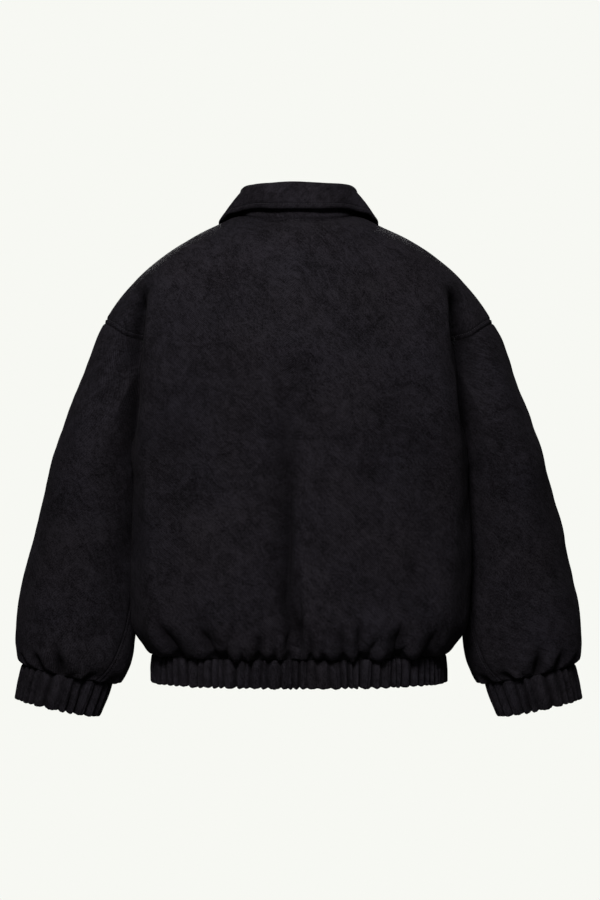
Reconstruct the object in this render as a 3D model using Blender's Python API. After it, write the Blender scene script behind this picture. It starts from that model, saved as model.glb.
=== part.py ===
"""Padded blouson jacket with a shirt collar, hollow and filled out as when worn.

The origin is the centre of the neck base. The front faces -Y and the wearer's left side is +X.
"""

import math

import bmesh
import bpy
import numpy as np
from mathutils import Matrix

MM = 0.001

# Cloth walls and seams, in metres
PANEL_THICKNESS = 8 * MM
BAND_THICKNESS = 4.5 * MM
COLLAR_THICKNESS = 4 * MM
SEAM_GAP = 0.4 * MM

# Rows and columns of the panels' grids, and the step that measures a surface's slope
ARMHOLE_STEPS = 11
SIDE_STEPS = 9
NECK_STEPS = 6
SHOULDER_STEPS = 10
SLEEVE_STEPS = 14
SURFACE_STEP = 0.004

# Places on the body: rows count from 0 on the shoulder seam to 12 at the hem, negative in front
ARMPIT_ROW = 7
HEM_ROW = 12
NECK_ACROSS = 0.25
BACK_NECK_ROW = 1.83
FRONT_NECK_ROW = -2.9

# Rows of the body in millimetres. Each is a cubic curve from the centre line to the side:
# centre y z, inner handle x y z, outer handle x y z
FRONT_ROWS = [
    (-119, -584.7, 106, -119, -584.7, 195, -70, -584.7),
    (-134, -573, 122, -139, -574, 207, -82, -574),
    (-141, -545, 132, -149, -546, 215, -88, -546),
    (-143, -490, 134, -148, -491, 213, -88, -488),
    (-141, -418, 132, -145, -417, 212, -88, -408),
    (-139, -342, 128, -143, -341, 216, -94, -328),
    (-136, -268, 124, -141, -268, 224, -116, -270),
    (-131, -195, 118, -137, -195, 224, -130, -208),
    (-122, -128, 112, -130, -128, 223, -126, -152),
    (-104, -70, 106, -112, -72, 219, -104, -100),
    (-78, -22, 102, -82, -26, 216, -74, -64),
    (-44, 7, 100, -42, -2, 211, -38, -48),
]
SHOULDER_ROW = (0, 18, 100, 0, 8, 208, 0, -42)
BACK_ROWS = [
    (42, 12, 100, 42, 2, 211, 38, -48),
    (82, -8, 102, 84, -18, 216, 76, -62),
    (114, -46, 106, 118, -56, 219, 108, -96),
    (134, -104, 112, 139, -112, 223, 132, -146),
    (143, -176, 118, 147, -180, 232, 136, -200),
    (145, -255, 124, 148, -257, 252, 120, -265),
    (143, -335, 128, 146, -334, 256, 96, -325),
    (143, -415, 132, 146, -414, 236, 92, -408),
    (147, -490, 134, 150, -490, 227, 94, -488),
    (149, -545, 132, 152, -546, 224, 92, -546),
    (139, -573, 122, 141, -574, 207, 84, -574),
    (119, -584.7, 106, 119, -584.7, 195, 70, -584.7),
]
BODY_ROWS = np.array(FRONT_ROWS + [SHOULDER_ROW] + BACK_ROWS, float)

# Where the rows end in millimetres, x y z: round the armhole from the shoulder down the back
# to the armpit and up the front, and down the side seam from the armpit
ARMHOLE_ENDS = np.array(
    [
        (262, 0, -138),
        (253, 30, -142),
        (236, 54, -154),
        (218, 68, -174),
        (207, 70, -205),
        (202, 60, -243),
        (204, 35, -281),
        (210, 0, -297),
        (204, -35, -282),
        (201, -64, -246),
        (206, -76, -209),
        (218, -74, -178),
        (236, -56, -156),
        (253, -30, -143),
    ],
    float,
)
SIDE_ENDS = np.array(
    [
        (210, 0, -297),
        (222, 6, -395),
        (226, 8, -485),
        (224, 6, -546),
        (207, 3, -574),
        (195, 0, -584.7),
    ],
    float,
)

# Rings of the left sleeve in millimetres: centre x y z, half width, half depth, tilt in degrees
SLEEVE_RINGS = np.array(
    [
        (236, -2, -218, 83, 76, 72),
        (257, -6, -256, 59, 81, 55),
        (268, -16, -300, 56, 86, 33),
        (275.4, -30, -345, 61.4, 88, 16),
        (288.0, -42, -424, 70.0, 86, 12),
        (296.2, -46, -491.5, 78.6, 80, 12),
        (303.3, -46, -551, 82, 76, 12),
        (309.2, -44, -593, 77.8, 70.5, 12),
        (314.4, -42, -614.5, 63, 55, 12.1),
    ],
    float,
)
ARMHOLE_FADE_RING = 3.2
ARMHOLE_OUTWARD = np.array([0.95, 0, -0.31])

# At the armpit the seam's edge faces lean away from the seam, from this share of the way down
ARMPIT_LEAN = 0.7
LEAN_START = 0.285

# Folds are at full depth from this share of their length, and end this many rows above a seam
FOLD_BUILD = 0.62
HEM_FOLD_END = 0.6
CUFF_FOLD_END = 0.5

# Deep folds, from a faint start to a deep end: start x z, end x z, depth, half width, in millimetres
DEEP_FOLDS = [
    (209, -78, 221, -190, 24, 11),
    (-208, -84, -220, -192, 24, 11),
    (17, -262, 16, -450, 7, 26),
    (16, -450, -4, -570, 8, 17),
]
# Folds gathered into the hem seam, pressed into the outer face only, in the same columns
HEM_FOLDS = [
    (188, -556, 158, -592, 5, 11),
    (136, -550, 106, -590, 5.5, 11),
    (94, -556, 96, -588, 4, 8),
    (55, -568, 54, -588, 4.5, 8),
    (2, -560, 14, -588, 5, 8),
    (-12, -560, -17, -588, 4, 8),
    (-54, -556, -60, -588, 4.5, 9),
    (-78, -550, -80, -590, 5.5, 9),
    (-105, -566, -90, -590, 4, 8),
    (-134, -550, -127, -588, 5, 10),
    (-180, -560, -168, -590, 5, 11),
]
# Folds gathered into the cuff seam: start turn and ring, end turn and ring, depth, half width
CUFF_FOLDS = [
    (0.20, 7.2, 0.18, 8.0, 5, 0.05),
    (0.44, 6.7, 0.40, 8.0, 6, 0.05),
    (0.72, 7.0, 0.66, 8.0, 5, 0.05),
    (0.95, 6.9, 0.92, 8.0, 5, 0.05),
    (-0.15, 7.1, -0.12, 8.0, 5, 0.05),
    (-0.40, 6.8, -0.42, 8.0, 6, 0.05),
    (-0.70, 7.1, -0.68, 8.0, 5, 0.05),
]

# The wearer's right side stands out a little more, in metres
SIDE_SWELL = 8 * MM
SWELL_HEIGHT = -430 * MM
SWELL_SPREAD = 120 * MM
SWELL_START = 200 * MM
SWELL_END = 330 * MM
SWELL_FADE = 100 * MM

# Hem band and cuffs: the gathers are drawn as ridge, slope and groove, and stand at the top,
# the middle and the bottom of a band by these strengths and bulges
HEM_HALF_WIDTH = 195 * MM
HEM_HALF_DEPTH = 119 * MM
BAND_TOP = -585.1 * MM
BAND_BOTTOM = -622 * MM
BAND_GATHERS = 76
CUFF_GATHERS = 22
CUFF_HALF_WIDTH = (60 * MM, 54.5 * MM)
CUFF_HALF_DEPTH = (52 * MM, 49 * MM)
CUFF_DROP = np.array([13.4, 0, -45.5]) * MM
GATHER_DEPTH = 1.5 * MM
COLUMNS_A_GATHER = 3
GATHER_SHAPE = np.array([0.0, -0.9, -1.7])
GATHER_STRENGTH = (0.7, 1.0, 1.2)
BAND_BULGE = (0.0, 1.2 * MM, 0.4 * MM)
CUFF_BULGE = (0.0, 1.0 * MM, 0.0)

# Zip
ZIP_HALF_WIDTH = 7.2 * MM
ZIP_ROOM = 7.6 * MM
ZIP_THICKNESS = 2.4 * MM
ZIP_DEPTH = 1.2 * MM
ZIP_TOP_ROW = -3.05
ZIP_STEPS = 34
ZIP_BEND = 6 * MM

# Slider and pull, lying on the zip: sizes across, off the zip and along it
SLIDER_ROW = -3.6
SLIDER_LIFT = 0.5 * MM
SLIDER_SIZE = (10 * MM, 4 * MM, 14 * MM)
EAR_SIZE = (1.6 * MM, 4.6 * MM, 5.2 * MM)
EAR_PLACE = 3.0 * MM
EAR_SINK = 0.6 * MM
BARREL_RADIUS = 1.7 * MM
BARREL_LENGTH = 3.8 * MM
BARREL_LIFT = 6.6 * MM
NECK_SIZE = (3.6 * MM, 1.6 * MM, 8 * MM)
TAB_SIZE = (8 * MM, 1.6 * MM, 24 * MM)
TAB_START = 7 * MM
SLIDER_BEVEL = 0.8 * MM
EAR_BEVEL = 0.4 * MM
NECK_BEVEL = 0.3 * MM
TAB_BEVEL = 0.5 * MM

# Collar stations from the centre back to the centre front: top of the stand x y z in millimetres,
# then where the fall's edge lies over the body: across, row, and height above the cloth
COLLAR_STATIONS = np.array(
    [
        (0, 67, 40, 0.00, 1.95, 18.5),
        (32, 61, 40, 0.115, 1.85, 18),
        (59, 38, 39.5, 0.235, 1.45, 18),
        (73, 0, 37.5, 0.345, 0.30, 5.5),
        (67, -46, 21, 0.355, -1.00, 4.5),
        (43, -84, -13, 0.30, -2.20, 4.5),
        (13, -101, -44, 0.205, -3.35, 5),
    ],
    float,
)
FOLD_RADIUS = 5 * MM
FOOT_DROP = 5 * MM
FALL_DROP = 3 * MM
FALL_BOW = 1.5 * MM
STAND_STEPS = 4
FALL_STEPS = 5

# Colour, roughness and metallic of each material
CLOTH = ((0.012, 0.012, 0.015), 0.9, 0.0)
METAL = ((0.05, 0.05, 0.055), 0.35, 0.9)


def clear_scene():
    for item in list(bpy.data.objects):
        bpy.data.objects.remove(item, do_unlink=True)


def plain_material(name, colour, roughness, metallic):
    material = bpy.data.materials.new(name)
    material.use_nodes = True
    shader = material.node_tree.nodes["Principled BSDF"]
    shader.inputs["Base Color"].default_value = (*colour, 1)
    shader.inputs["Roughness"].default_value = roughness
    shader.inputs["Metallic"].default_value = metallic
    return material


def unit(vectors):
    return vectors / np.linalg.norm(vectors, axis=-1, keepdims=True)


def smooth_step(value):
    value = np.clip(value, 0, 1)
    return value * value * (3 - 2 * value)


def read_rows(table, place):
    """A table's values at a place counted in rows, on a smooth curve through the rows."""
    last = len(table) - 1
    place = np.clip(place, 0, last)
    index = np.minimum(np.floor(place).astype(int), last - 1)
    part = (place - index)[..., None]
    here, there = table[index], table[index + 1]
    before = np.where((index > 0)[..., None], table[np.maximum(index - 1, 0)], 2 * here - there)
    after_index = np.minimum(index + 2, last)
    after = np.where((index < last - 1)[..., None], table[after_index], 2 * there - here)
    slope_here = (there - before) / 2
    slope_there = (after - here) / 2
    return (
        here * (1 + 2 * part) * (1 - part) ** 2
        + slope_here * part * (1 - part) ** 2
        + there * part**2 * (3 - 2 * part)
        + slope_there * part**2 * (part - 1)
    )


def read_round(table, place):
    """A table's values at a place counted in rows, on a smooth closed curve through the rows."""
    wrapped = np.concatenate([table[-2:], table, table[:3]])
    return read_rows(wrapped, np.mod(place, len(table)) + 2)


def armhole_edge(turn):
    """The armhole seam: turn 0 at the shoulder, 1 or -1 at the armpit by the back or the front."""
    return read_round(ARMHOLE_ENDS, turn * ARMPIT_ROW) * MM


def row_end(row):
    """Where a row ends: on the armhole above the armpit, on the side seam below it."""
    armhole = armhole_edge(np.clip(row / ARMPIT_ROW, -1, 1))
    side = read_rows(SIDE_ENDS, np.abs(row) - ARMPIT_ROW) * MM
    return np.where((np.abs(row) <= ARMPIT_ROW)[..., None], armhole, side)


def fold_depth(first, second, folds):
    """How deep the folds press in at each place, in the table's own depth unit."""
    depth = np.zeros(np.shape(first))
    for start_1, start_2, end_1, end_2, full_depth, half_width in folds:
        run_1, run_2 = end_1 - start_1, end_2 - start_2
        along = ((first - start_1) * run_1 + (second - start_2) * run_2) / (run_1**2 + run_2**2)
        along = np.clip(along, 0, 1)
        away = np.hypot(first - start_1 - along * run_1, second - start_2 - along * run_2)
        depth += full_depth * smooth_step(along / FOLD_BUILD) * np.exp(-((away / half_width) ** 2))
    return depth


def body_base(across, row):
    """Outer cloth of the left half before any fold: across 0 at the centre, 1 at the side."""
    across, row = np.broadcast_arrays(np.asarray(across, float), np.asarray(row, float))
    values = read_rows(BODY_ROWS, row + HEM_ROW) * MM
    centre = np.concatenate([np.zeros(values.shape[:-1] + (1,)), values[..., :2]], -1)
    inner, outer, end = values[..., 2:5], values[..., 5:8], row_end(row)
    t = across[..., None]
    point = (
        centre * (1 - t) ** 3
        + 3 * inner * t * (1 - t) ** 2
        + 3 * outer * t**2 * (1 - t)
        + end * t**3
    )
    point[..., 0] += ZIP_ROOM * (1 - across) ** 6 * np.clip(-row, 0, 1)
    return point


def outward(surface, first, second):
    """Unit normal of a surface function of two values, from small steps along both."""
    along_1 = surface(first + SURFACE_STEP, second) - surface(first - SURFACE_STEP, second)
    along_2 = surface(first, second + SURFACE_STEP) - surface(first, second - SURFACE_STEP)
    return unit(np.cross(along_1, along_2))


def body_point(across, row, side):
    """Outer cloth of one half with the deep folds, side 1 for the left half and -1 for the right."""
    across, row = np.broadcast_arrays(np.asarray(across, float), np.asarray(row, float))
    base = body_base(across, row)
    depth = fold_depth(side * base[..., 0] / MM, base[..., 2] / MM, DEEP_FOLDS) * MM
    depth = np.where(row > 0, depth * smooth_step(HEM_ROW - row), 0)
    within = HEM_ROW - 2 * SURFACE_STEP
    normal = outward(body_base, across, np.clip(row, -within, within))
    return base - normal * depth[..., None]


def body_normal(across, row, side):
    across, row = np.broadcast_arrays(np.asarray(across, float), np.asarray(row, float))

    def surface(first, second):
        return body_point(first, second, side)

    normal = outward(surface, across, row)
    opposite = outward(surface, across, -row)
    seam = (across > 0.999) & (np.abs(row) >= ARMPIT_ROW)
    return unit(np.where(seam[..., None], normal + opposite, normal))


def sleeve_ring(turn, ring):
    """Ring family of the sleeve: turn 0 outside, 1 or -1 inside through the back or the front."""
    values = read_rows(SLEEVE_RINGS, ring)
    centre = values[..., :3] * MM
    half_width, half_depth = values[..., 3:4] * MM, values[..., 4:5] * MM
    tilt = np.radians(values[..., 5])
    aside = np.stack([np.cos(tilt), np.zeros_like(tilt), np.sin(tilt)], -1)
    back = np.array([0, 1.0, 0])
    angle = (turn * math.pi)[..., None]
    return centre + half_width * np.cos(angle) * aside + half_depth * np.sin(angle) * back


def sleeve_point(turn, ring, side):
    """Outer cloth of the sleeve, which starts on the body's armhole edge and fades to the rings."""
    turn, ring = np.broadcast_arrays(np.asarray(turn, float), np.asarray(ring, float))
    start = body_point(np.ones_like(turn), turn * ARMPIT_ROW, side)
    reach = np.clip(ring / ARMHOLE_FADE_RING, 0, 1)[..., None]
    fade = (1 - reach) ** 2 * (1 + 2 * reach)
    return sleeve_ring(turn, ring) + (start - sleeve_ring(turn, np.zeros_like(ring))) * fade


def sleeve_normal(turn, ring, side):
    def surface(first, second):
        return sleeve_point(np.clip(first, -1, 1), np.clip(second, 0, len(SLEEVE_RINGS) - 1), side)

    return -outward(surface, np.asarray(turn, float), np.asarray(ring, float))


def armhole_inward(turn, away):
    """Way into the wall at the armhole edge, within its plane and at the armpit away from the seam."""
    tangent = armhole_edge(turn + SURFACE_STEP) - armhole_edge(turn - SURFACE_STEP)
    within = unit(np.cross(tangent, ARMHOLE_OUTWARD))
    lean = ARMPIT_LEAN * smooth_step((np.abs(turn) - LEAN_START) / (1 - LEAN_START))[:, None]
    return unit(within + away * lean * ARMHOLE_OUTWARD) * PANEL_THICKNESS


def settle(points, side):
    """Mirrors the right half and lets it stand out a little more than the left."""
    points = np.array(points, float)
    if side < 0:
        aside = points[..., 0]
        bell = np.exp(-(((points[..., 2] - SWELL_HEIGHT) / SWELL_SPREAD) ** 2))
        near = smooth_step((SWELL_END - aside) / SWELL_FADE) * smooth_step(aside / SWELL_START)
        points[..., 0] = aside + SIDE_SWELL * bell * near
        points[..., 0] *= -1
    return points


def panel_grid(front):
    """Places across and rows of one half of a panel, row by row from the top edge down."""
    steps = NECK_STEPS + SHOULDER_STEPS
    neck_row = FRONT_NECK_ROW if front else BACK_NECK_ROW
    turn = np.linspace(0, math.pi / 2, NECK_STEPS + 1)
    top_across = np.concatenate(
        [NECK_ACROSS * np.sin(turn), np.linspace(NECK_ACROSS, 1, SHOULDER_STEPS + 1)[1:]]
    )
    top_row = np.concatenate([neck_row * np.cos(turn), np.zeros(SHOULDER_STEPS)])
    low_across = np.linspace(0, 1, steps + 1)
    sign = -1 if front else 1
    down = np.concatenate(
        [
            np.linspace(0, ARMPIT_ROW, ARMHOLE_STEPS + 1),
            np.linspace(ARMPIT_ROW, HEM_ROW, SIDE_STEPS + 1)[1:],
        ]
    )
    share = ((1 - down / HEM_ROW) ** 2)[:, None]
    row = sign * down[:, None] + top_row[None, :] * share
    across = low_across[None, :] * (1 - share) + top_across[None, :] * share
    return across, row


def band_inward(points):
    """Level way in from the hem's outline, along the normal of an oval of its size."""
    x, y = points[..., 0], points[..., 1]
    return -unit(np.stack([x / HEM_HALF_WIDTH**2, y / HEM_HALF_DEPTH**2, np.zeros_like(x)], -1))


def half_panel(front, side):
    """Outer and inner points of one half of the back, or of one front."""
    across, row = panel_grid(front)
    outer = body_point(across, row, side)
    normal = body_normal(across, row, side)
    inward = -normal * PANEL_THICKNESS
    armhole_turn = row[: ARMHOLE_STEPS + 1, -1] / ARMPIT_ROW
    inward[: ARMHOLE_STEPS + 1, -1] = armhole_inward(armhole_turn, -1)
    inward[-1] = band_inward(outer[-1]) * PANEL_THICKNESS
    inward[0, : NECK_STEPS + 1] = (0, 0, -PANEL_THICKNESS)
    inner = outer + inward
    x, z = side * outer[..., 0] / MM, outer[..., 2] / MM
    pressed = fold_depth(x, z, HEM_FOLDS) * smooth_step((HEM_ROW - np.abs(row)) / HEM_FOLD_END) * MM
    outer = outer - normal * pressed[..., None]
    gap = SEAM_GAP / 2
    shoulder = np.array([0, -gap if front else gap, 0])
    armhole = -ARMHOLE_OUTWARD * gap
    seam = np.array([0, -gap if front else gap, 0])
    for layer in (outer, inner):
        layer[0, NECK_STEPS:] += shoulder
        layer[: ARMHOLE_STEPS + 1, -1] += armhole
        layer[ARMHOLE_STEPS:, -1] += seam
    return settle(outer, side), settle(inner, side)


def make_wall(name, outer, inner, ring=False):
    """A closed cloth wall between two grids of points, which wraps round where it is a ring."""
    bm = bmesh.new()
    layers = [[[bm.verts.new(point) for point in row] for row in grid] for grid in (outer, inner)]
    rows, columns = outer.shape[:2]
    spans = columns if ring else columns - 1
    for layer in layers:
        for i in range(rows - 1):
            for j in range(spans):
                k = (j + 1) % columns
                bm.faces.new((layer[i][j], layer[i][k], layer[i + 1][k], layer[i + 1][j]))
    out, into = layers
    for i in (0, rows - 1):
        for j in range(spans):
            k = (j + 1) % columns
            bm.faces.new((out[i][j], out[i][k], into[i][k], into[i][j]))
    if not ring:
        for j in (0, columns - 1):
            for i in range(rows - 1):
                bm.faces.new((out[i][j], out[i + 1][j], into[i + 1][j], into[i][j]))
    return finish_mesh(name, bm)


def finish_mesh(name, bm, kind=CLOTH):
    bmesh.ops.recalc_face_normals(bm, faces=bm.faces)
    mesh = bpy.data.meshes.new(name)
    bm.to_mesh(mesh)
    bm.free()
    mesh.shade_smooth()
    mesh.set_sharp_from_angle(angle=math.radians(50))
    item = bpy.data.objects.new(name, mesh)
    jacket.objects.link(item)
    mesh.materials.append(plain_material(name, *kind))
    return item


def make_back():
    left_outer, left_inner = half_panel(False, 1)
    right_outer, right_inner = half_panel(False, -1)
    outer = np.concatenate([right_outer[:, :0:-1], left_outer], 1)
    inner = np.concatenate([right_inner[:, :0:-1], left_inner], 1)
    make_wall("back", outer, inner)


def make_front(name, side):
    outer, inner = half_panel(True, side)
    make_wall(name, outer, inner)


def make_sleeve(name, side):
    back_turn = np.linspace(0, 1, ARMHOLE_STEPS + 1)
    turn = np.concatenate([back_turn, back_turn[-2:0:-1] * -1])
    last = len(SLEEVE_RINGS) - 1
    ring = last * np.linspace(0, 1, SLEEVE_STEPS + 1)
    turn, ring = np.meshgrid(turn, ring)
    outer = sleeve_point(turn, ring, side)
    normal = sleeve_normal(turn, ring, side)
    inward = -normal * PANEL_THICKNESS
    inward[0] = armhole_inward(turn[0], 1)
    centre = outer[-1].mean(0)
    inward[-1] = unit(centre - outer[-1]) * PANEL_THICKNESS
    inner = outer + inward
    pressed = fold_depth(turn, ring, CUFF_FOLDS) * smooth_step((last - ring) / CUFF_FOLD_END) * MM
    outer = outer - normal * pressed[..., None]
    gap = ARMHOLE_OUTWARD * SEAM_GAP / 2
    outer[0] += gap
    inner[0] += gap
    make_wall(name, settle(outer, side), settle(inner, side), ring=True)


def gather_wave(columns):
    """Height of each column of a gathered band: ridge, slope, groove."""
    phase = np.arange(columns) % COLUMNS_A_GATHER
    return GATHER_SHAPE[phase] * GATHER_DEPTH


def band_outline(columns):
    """Level outline of the hem, from the left of the zip round the back to its right."""
    across = np.linspace(0, 1, 60)
    front = body_base(across, np.full_like(across, -HEM_ROW))
    back = body_base(across[::-1], np.full_like(across, HEM_ROW))
    left = np.concatenate([front, back[1:]])
    right = left[-2::-1] * np.array([-1, 1, 1])
    line = np.concatenate([left, right])
    length = np.concatenate([[0], np.cumsum(np.linalg.norm(np.diff(line, axis=0), axis=1))])
    place = np.linspace(0, length[-1], columns)
    return np.stack([np.interp(place, length, line[:, i]) for i in range(3)], -1)


def make_hem_band():
    columns = BAND_GATHERS * COLUMNS_A_GATHER + 1
    line = band_outline(columns)
    inward = band_inward(line)
    wave = gather_wave(columns)
    heights = (BAND_TOP, (BAND_TOP + BAND_BOTTOM) / 2, BAND_BOTTOM)
    outer, inner = [], []
    for height, out, strong in zip(heights, BAND_BULGE, GATHER_STRENGTH):
        edge = line - inward * (out + wave[:, None] * strong)
        edge[:, 2] = height
        plain = line + inward * BAND_THICKNESS
        plain[:, 2] = height
        outer.append(edge)
        inner.append(plain)
    make_wall("hem_band", np.array(outer), np.array(inner))


def make_cuff(name, side):
    columns = CUFF_GATHERS * COLUMNS_A_GATHER
    angle = np.arange(columns) / columns * 2 * math.pi
    wave = gather_wave(columns)
    values = SLEEVE_RINGS[-1]
    tilt = math.radians(values[5])
    aside = np.array([math.cos(tilt), 0, math.sin(tilt)])
    down = np.array([math.sin(tilt), 0, -math.cos(tilt)])
    top = values[:3] * MM + down * SEAM_GAP
    outer, inner = [], []
    for part, out, strong in zip((0, 0.5, 1), CUFF_BULGE, GATHER_STRENGTH):
        centre = top + CUFF_DROP * part
        half_width = CUFF_HALF_WIDTH[0] * (1 - part) + CUFF_HALF_WIDTH[1] * part
        half_depth = CUFF_HALF_DEPTH[0] * (1 - part) + CUFF_HALF_DEPTH[1] * part
        for layer, change in (
            (outer, out + wave * strong),
            (inner, np.full(columns, -BAND_THICKNESS)),
        ):
            width = (half_width + change)[:, None]
            depth = (half_depth + change)[:, None]
            ring = centre + width * np.cos(angle)[:, None] * aside
            ring = ring + depth * np.sin(angle)[:, None] * np.array([0, 1.0, 0])
            layer.append(ring)
    make_wall(name, settle(np.array(outer), side), settle(np.array(inner), side), ring=True)


def collar_half():
    """Middle surface of the collar's left half, column by column from centre back to front."""
    turn = np.linspace(0, math.pi / 2, NECK_STEPS + 1)
    back = body_base(NECK_ACROSS * np.sin(turn), BACK_NECK_ROW * np.cos(turn))
    front = body_base(NECK_ACROSS * np.cos(turn), FRONT_NECK_ROW * np.sin(turn))
    seam = np.concatenate([back, front[1:]])
    along = np.gradient(seam, axis=0)
    away = unit(np.cross(along, np.array([0, 0, -1.0])))
    away[0], away[-1] = (0, 1, 0), away[-2]
    place = np.linspace(0, len(COLLAR_STATIONS) - 1, len(seam))
    stations = read_rows(COLLAR_STATIONS, place)
    inset = COLLAR_THICKNESS / 2 + SEAM_GAP
    columns = []
    for point, way, station in zip(seam, away, stations):
        foot = point - way * inset - np.array([0, 0, FOOT_DROP])
        top = station[:3] * MM - way * FOLD_RADIUS
        edge_across, edge_row = np.array([station[3]]), np.array([station[4]])
        lift = outward(body_base, edge_across, edge_row)[0] * station[5] * MM
        edge = body_base(edge_across, edge_row)[0] + lift
        shoulder = top + 2 * FOLD_RADIUS * way - np.array([0, 0, FALL_DROP])
        points = [foot + (top - foot) * part for part in np.linspace(0, 1, STAND_STEPS + 1)]
        middle = (top + shoulder) / 2
        rise = np.array([0, 0, FOLD_RADIUS])
        for angle in (45, 90, 135):
            turned = math.radians(angle)
            reach = (shoulder - top) / 2
            points.append(middle - reach * math.cos(turned) + rise * math.sin(turned))
        for part in np.linspace(0, 1, FALL_STEPS + 1):
            bow = way * math.sin(part * math.pi) * FALL_BOW
            points.append(shoulder + (edge - shoulder) * part + bow)
        columns.append(points)
    columns = np.array(columns)
    columns[0, :, 0] = 0
    return columns


def make_collar():
    left = collar_half()
    right = left[:0:-1] * np.array([-1, 1, 1])
    middle = np.concatenate([right, left])
    normal = unit(np.cross(np.gradient(middle, axis=0), np.gradient(middle, axis=1)))
    half = normal * COLLAR_THICKNESS / 2
    make_wall("collar", middle + half, middle - half)


def zip_line(rows):
    line = body_base(np.zeros_like(rows), rows)
    line[:, 0] = 0
    return line


def make_zip():
    line = zip_line(np.linspace(ZIP_TOP_ROW, -HEM_ROW, ZIP_STEPS))
    foot = np.array([[0, line[-1, 1], BAND_TOP - ZIP_BEND], [0, line[-1, 1], BAND_BOTTOM]])
    line = np.concatenate([line, foot])
    along = unit(np.gradient(line, axis=0))
    inward = np.cross(np.array([1.0, 0, 0]), along)
    inward[-2:] = (0, 1, 0)
    wide = np.array([ZIP_HALF_WIDTH, 0, 0])
    face = line + inward * ZIP_DEPTH
    back = face + inward * ZIP_THICKNESS
    outer = np.stack([face - wide, face + wide], 1)
    inner = np.stack([back - wide, back + wide], 1)
    make_wall("zip_tape", outer, inner)


def bevelled_box(name, size, centre, bevel):
    """A box in the slider's own frame, with its edges rounded off."""
    bm = bmesh.new()
    bmesh.ops.create_cube(bm, size=1)
    bmesh.ops.scale(bm, vec=size, verts=bm.verts)
    bmesh.ops.bevel(bm, geom=bm.edges, offset=bevel, segments=2, profile=0.5, affect="EDGES")
    bmesh.ops.translate(bm, vec=centre, verts=bm.verts)
    return finish_mesh(name, bm, METAL)


def barrel(name, radius, length):
    """The pull's round end, along X about its own hinge axis."""
    bm = bmesh.new()
    bmesh.ops.create_cone(
        bm, cap_ends=True, segments=20, radius1=radius, radius2=radius, depth=length
    )
    turned = Matrix.Rotation(math.pi / 2, 3, "Y")
    bmesh.ops.rotate(bm, cent=(0, 0, 0), matrix=turned, verts=bm.verts)
    return finish_mesh(name, bm, METAL)


def fuse(item, added):
    """Joins helper pieces to an object and leaves the helpers out of the model."""
    for helper in added:
        helper.parent = item
        helper.hide_render = True
        helper.display_type = "WIRE"
        jacket.objects.unlink(helper)
        cutters.objects.link(helper)
        modifier = item.modifiers.new(helper.name, "BOOLEAN")
        modifier.operation = "UNION"
        modifier.object = helper


def make_slider_and_pull():
    """The slider near the neck, and its pull tab, which hangs down the zip from the slider's ears."""
    line = zip_line(SLIDER_ROW + np.array([-SURFACE_STEP, 0, SURFACE_STEP]))
    along = unit(line[0] - line[2])
    off = np.cross(along, np.array([1.0, 0, 0]))
    face = line[1] - off * ZIP_DEPTH
    lean = math.atan2(along[1], -along[2])
    _, thick, _ = SLIDER_SIZE
    slider = bevelled_box("zip_slider", SLIDER_SIZE, (0, -SLIDER_LIFT - thick / 2, 0), SLIDER_BEVEL)
    ear_lift = SLIDER_LIFT + thick + EAR_SIZE[1] / 2 - EAR_SINK
    ears = [
        bevelled_box(f"slider_ear_{i}", EAR_SIZE, (x, -ear_lift, 0), EAR_BEVEL)
        for i, x in enumerate((-EAR_PLACE, EAR_PLACE))
    ]
    fuse(slider, ears)
    slider.location = face
    slider.rotation_euler = (lean, 0, 0)
    pull = barrel("zip_pull", BARREL_RADIUS, BARREL_LENGTH)
    neck = bevelled_box("pull_neck", NECK_SIZE, (0, 0, -NECK_SIZE[2] / 2), NECK_BEVEL)
    tab = bevelled_box("pull_tab", TAB_SIZE, (0, 0, -TAB_START - TAB_SIZE[2] / 2), TAB_BEVEL)
    fuse(pull, (neck, tab))
    pull.location = face + off * BARREL_LIFT
    pull.rotation_euler = (lean, 0, 0)


def main():
    make_back()
    make_front("front_left", 1)
    make_front("front_right", -1)
    make_sleeve("sleeve_left", 1)
    make_sleeve("sleeve_right", -1)
    make_collar()
    make_hem_band()
    make_cuff("cuff_left", 1)
    make_cuff("cuff_right", -1)
    make_zip()
    make_slider_and_pull()


clear_scene()
jacket = bpy.data.collections.new("padded_blouson_jacket")
bpy.context.scene.collection.children.link(jacket)
cutters = bpy.data.collections.new("cutters")
bpy.context.scene.collection.children.link(cutters)
main()
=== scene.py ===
"""Looks of a padded blouson jacket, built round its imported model.

The origin is the centre of the neck base. The front faces -Y and the wearer's left is +X.
"""

import math

import bmesh
import bpy
import numpy as np
from mathutils import Matrix, Vector


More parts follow.
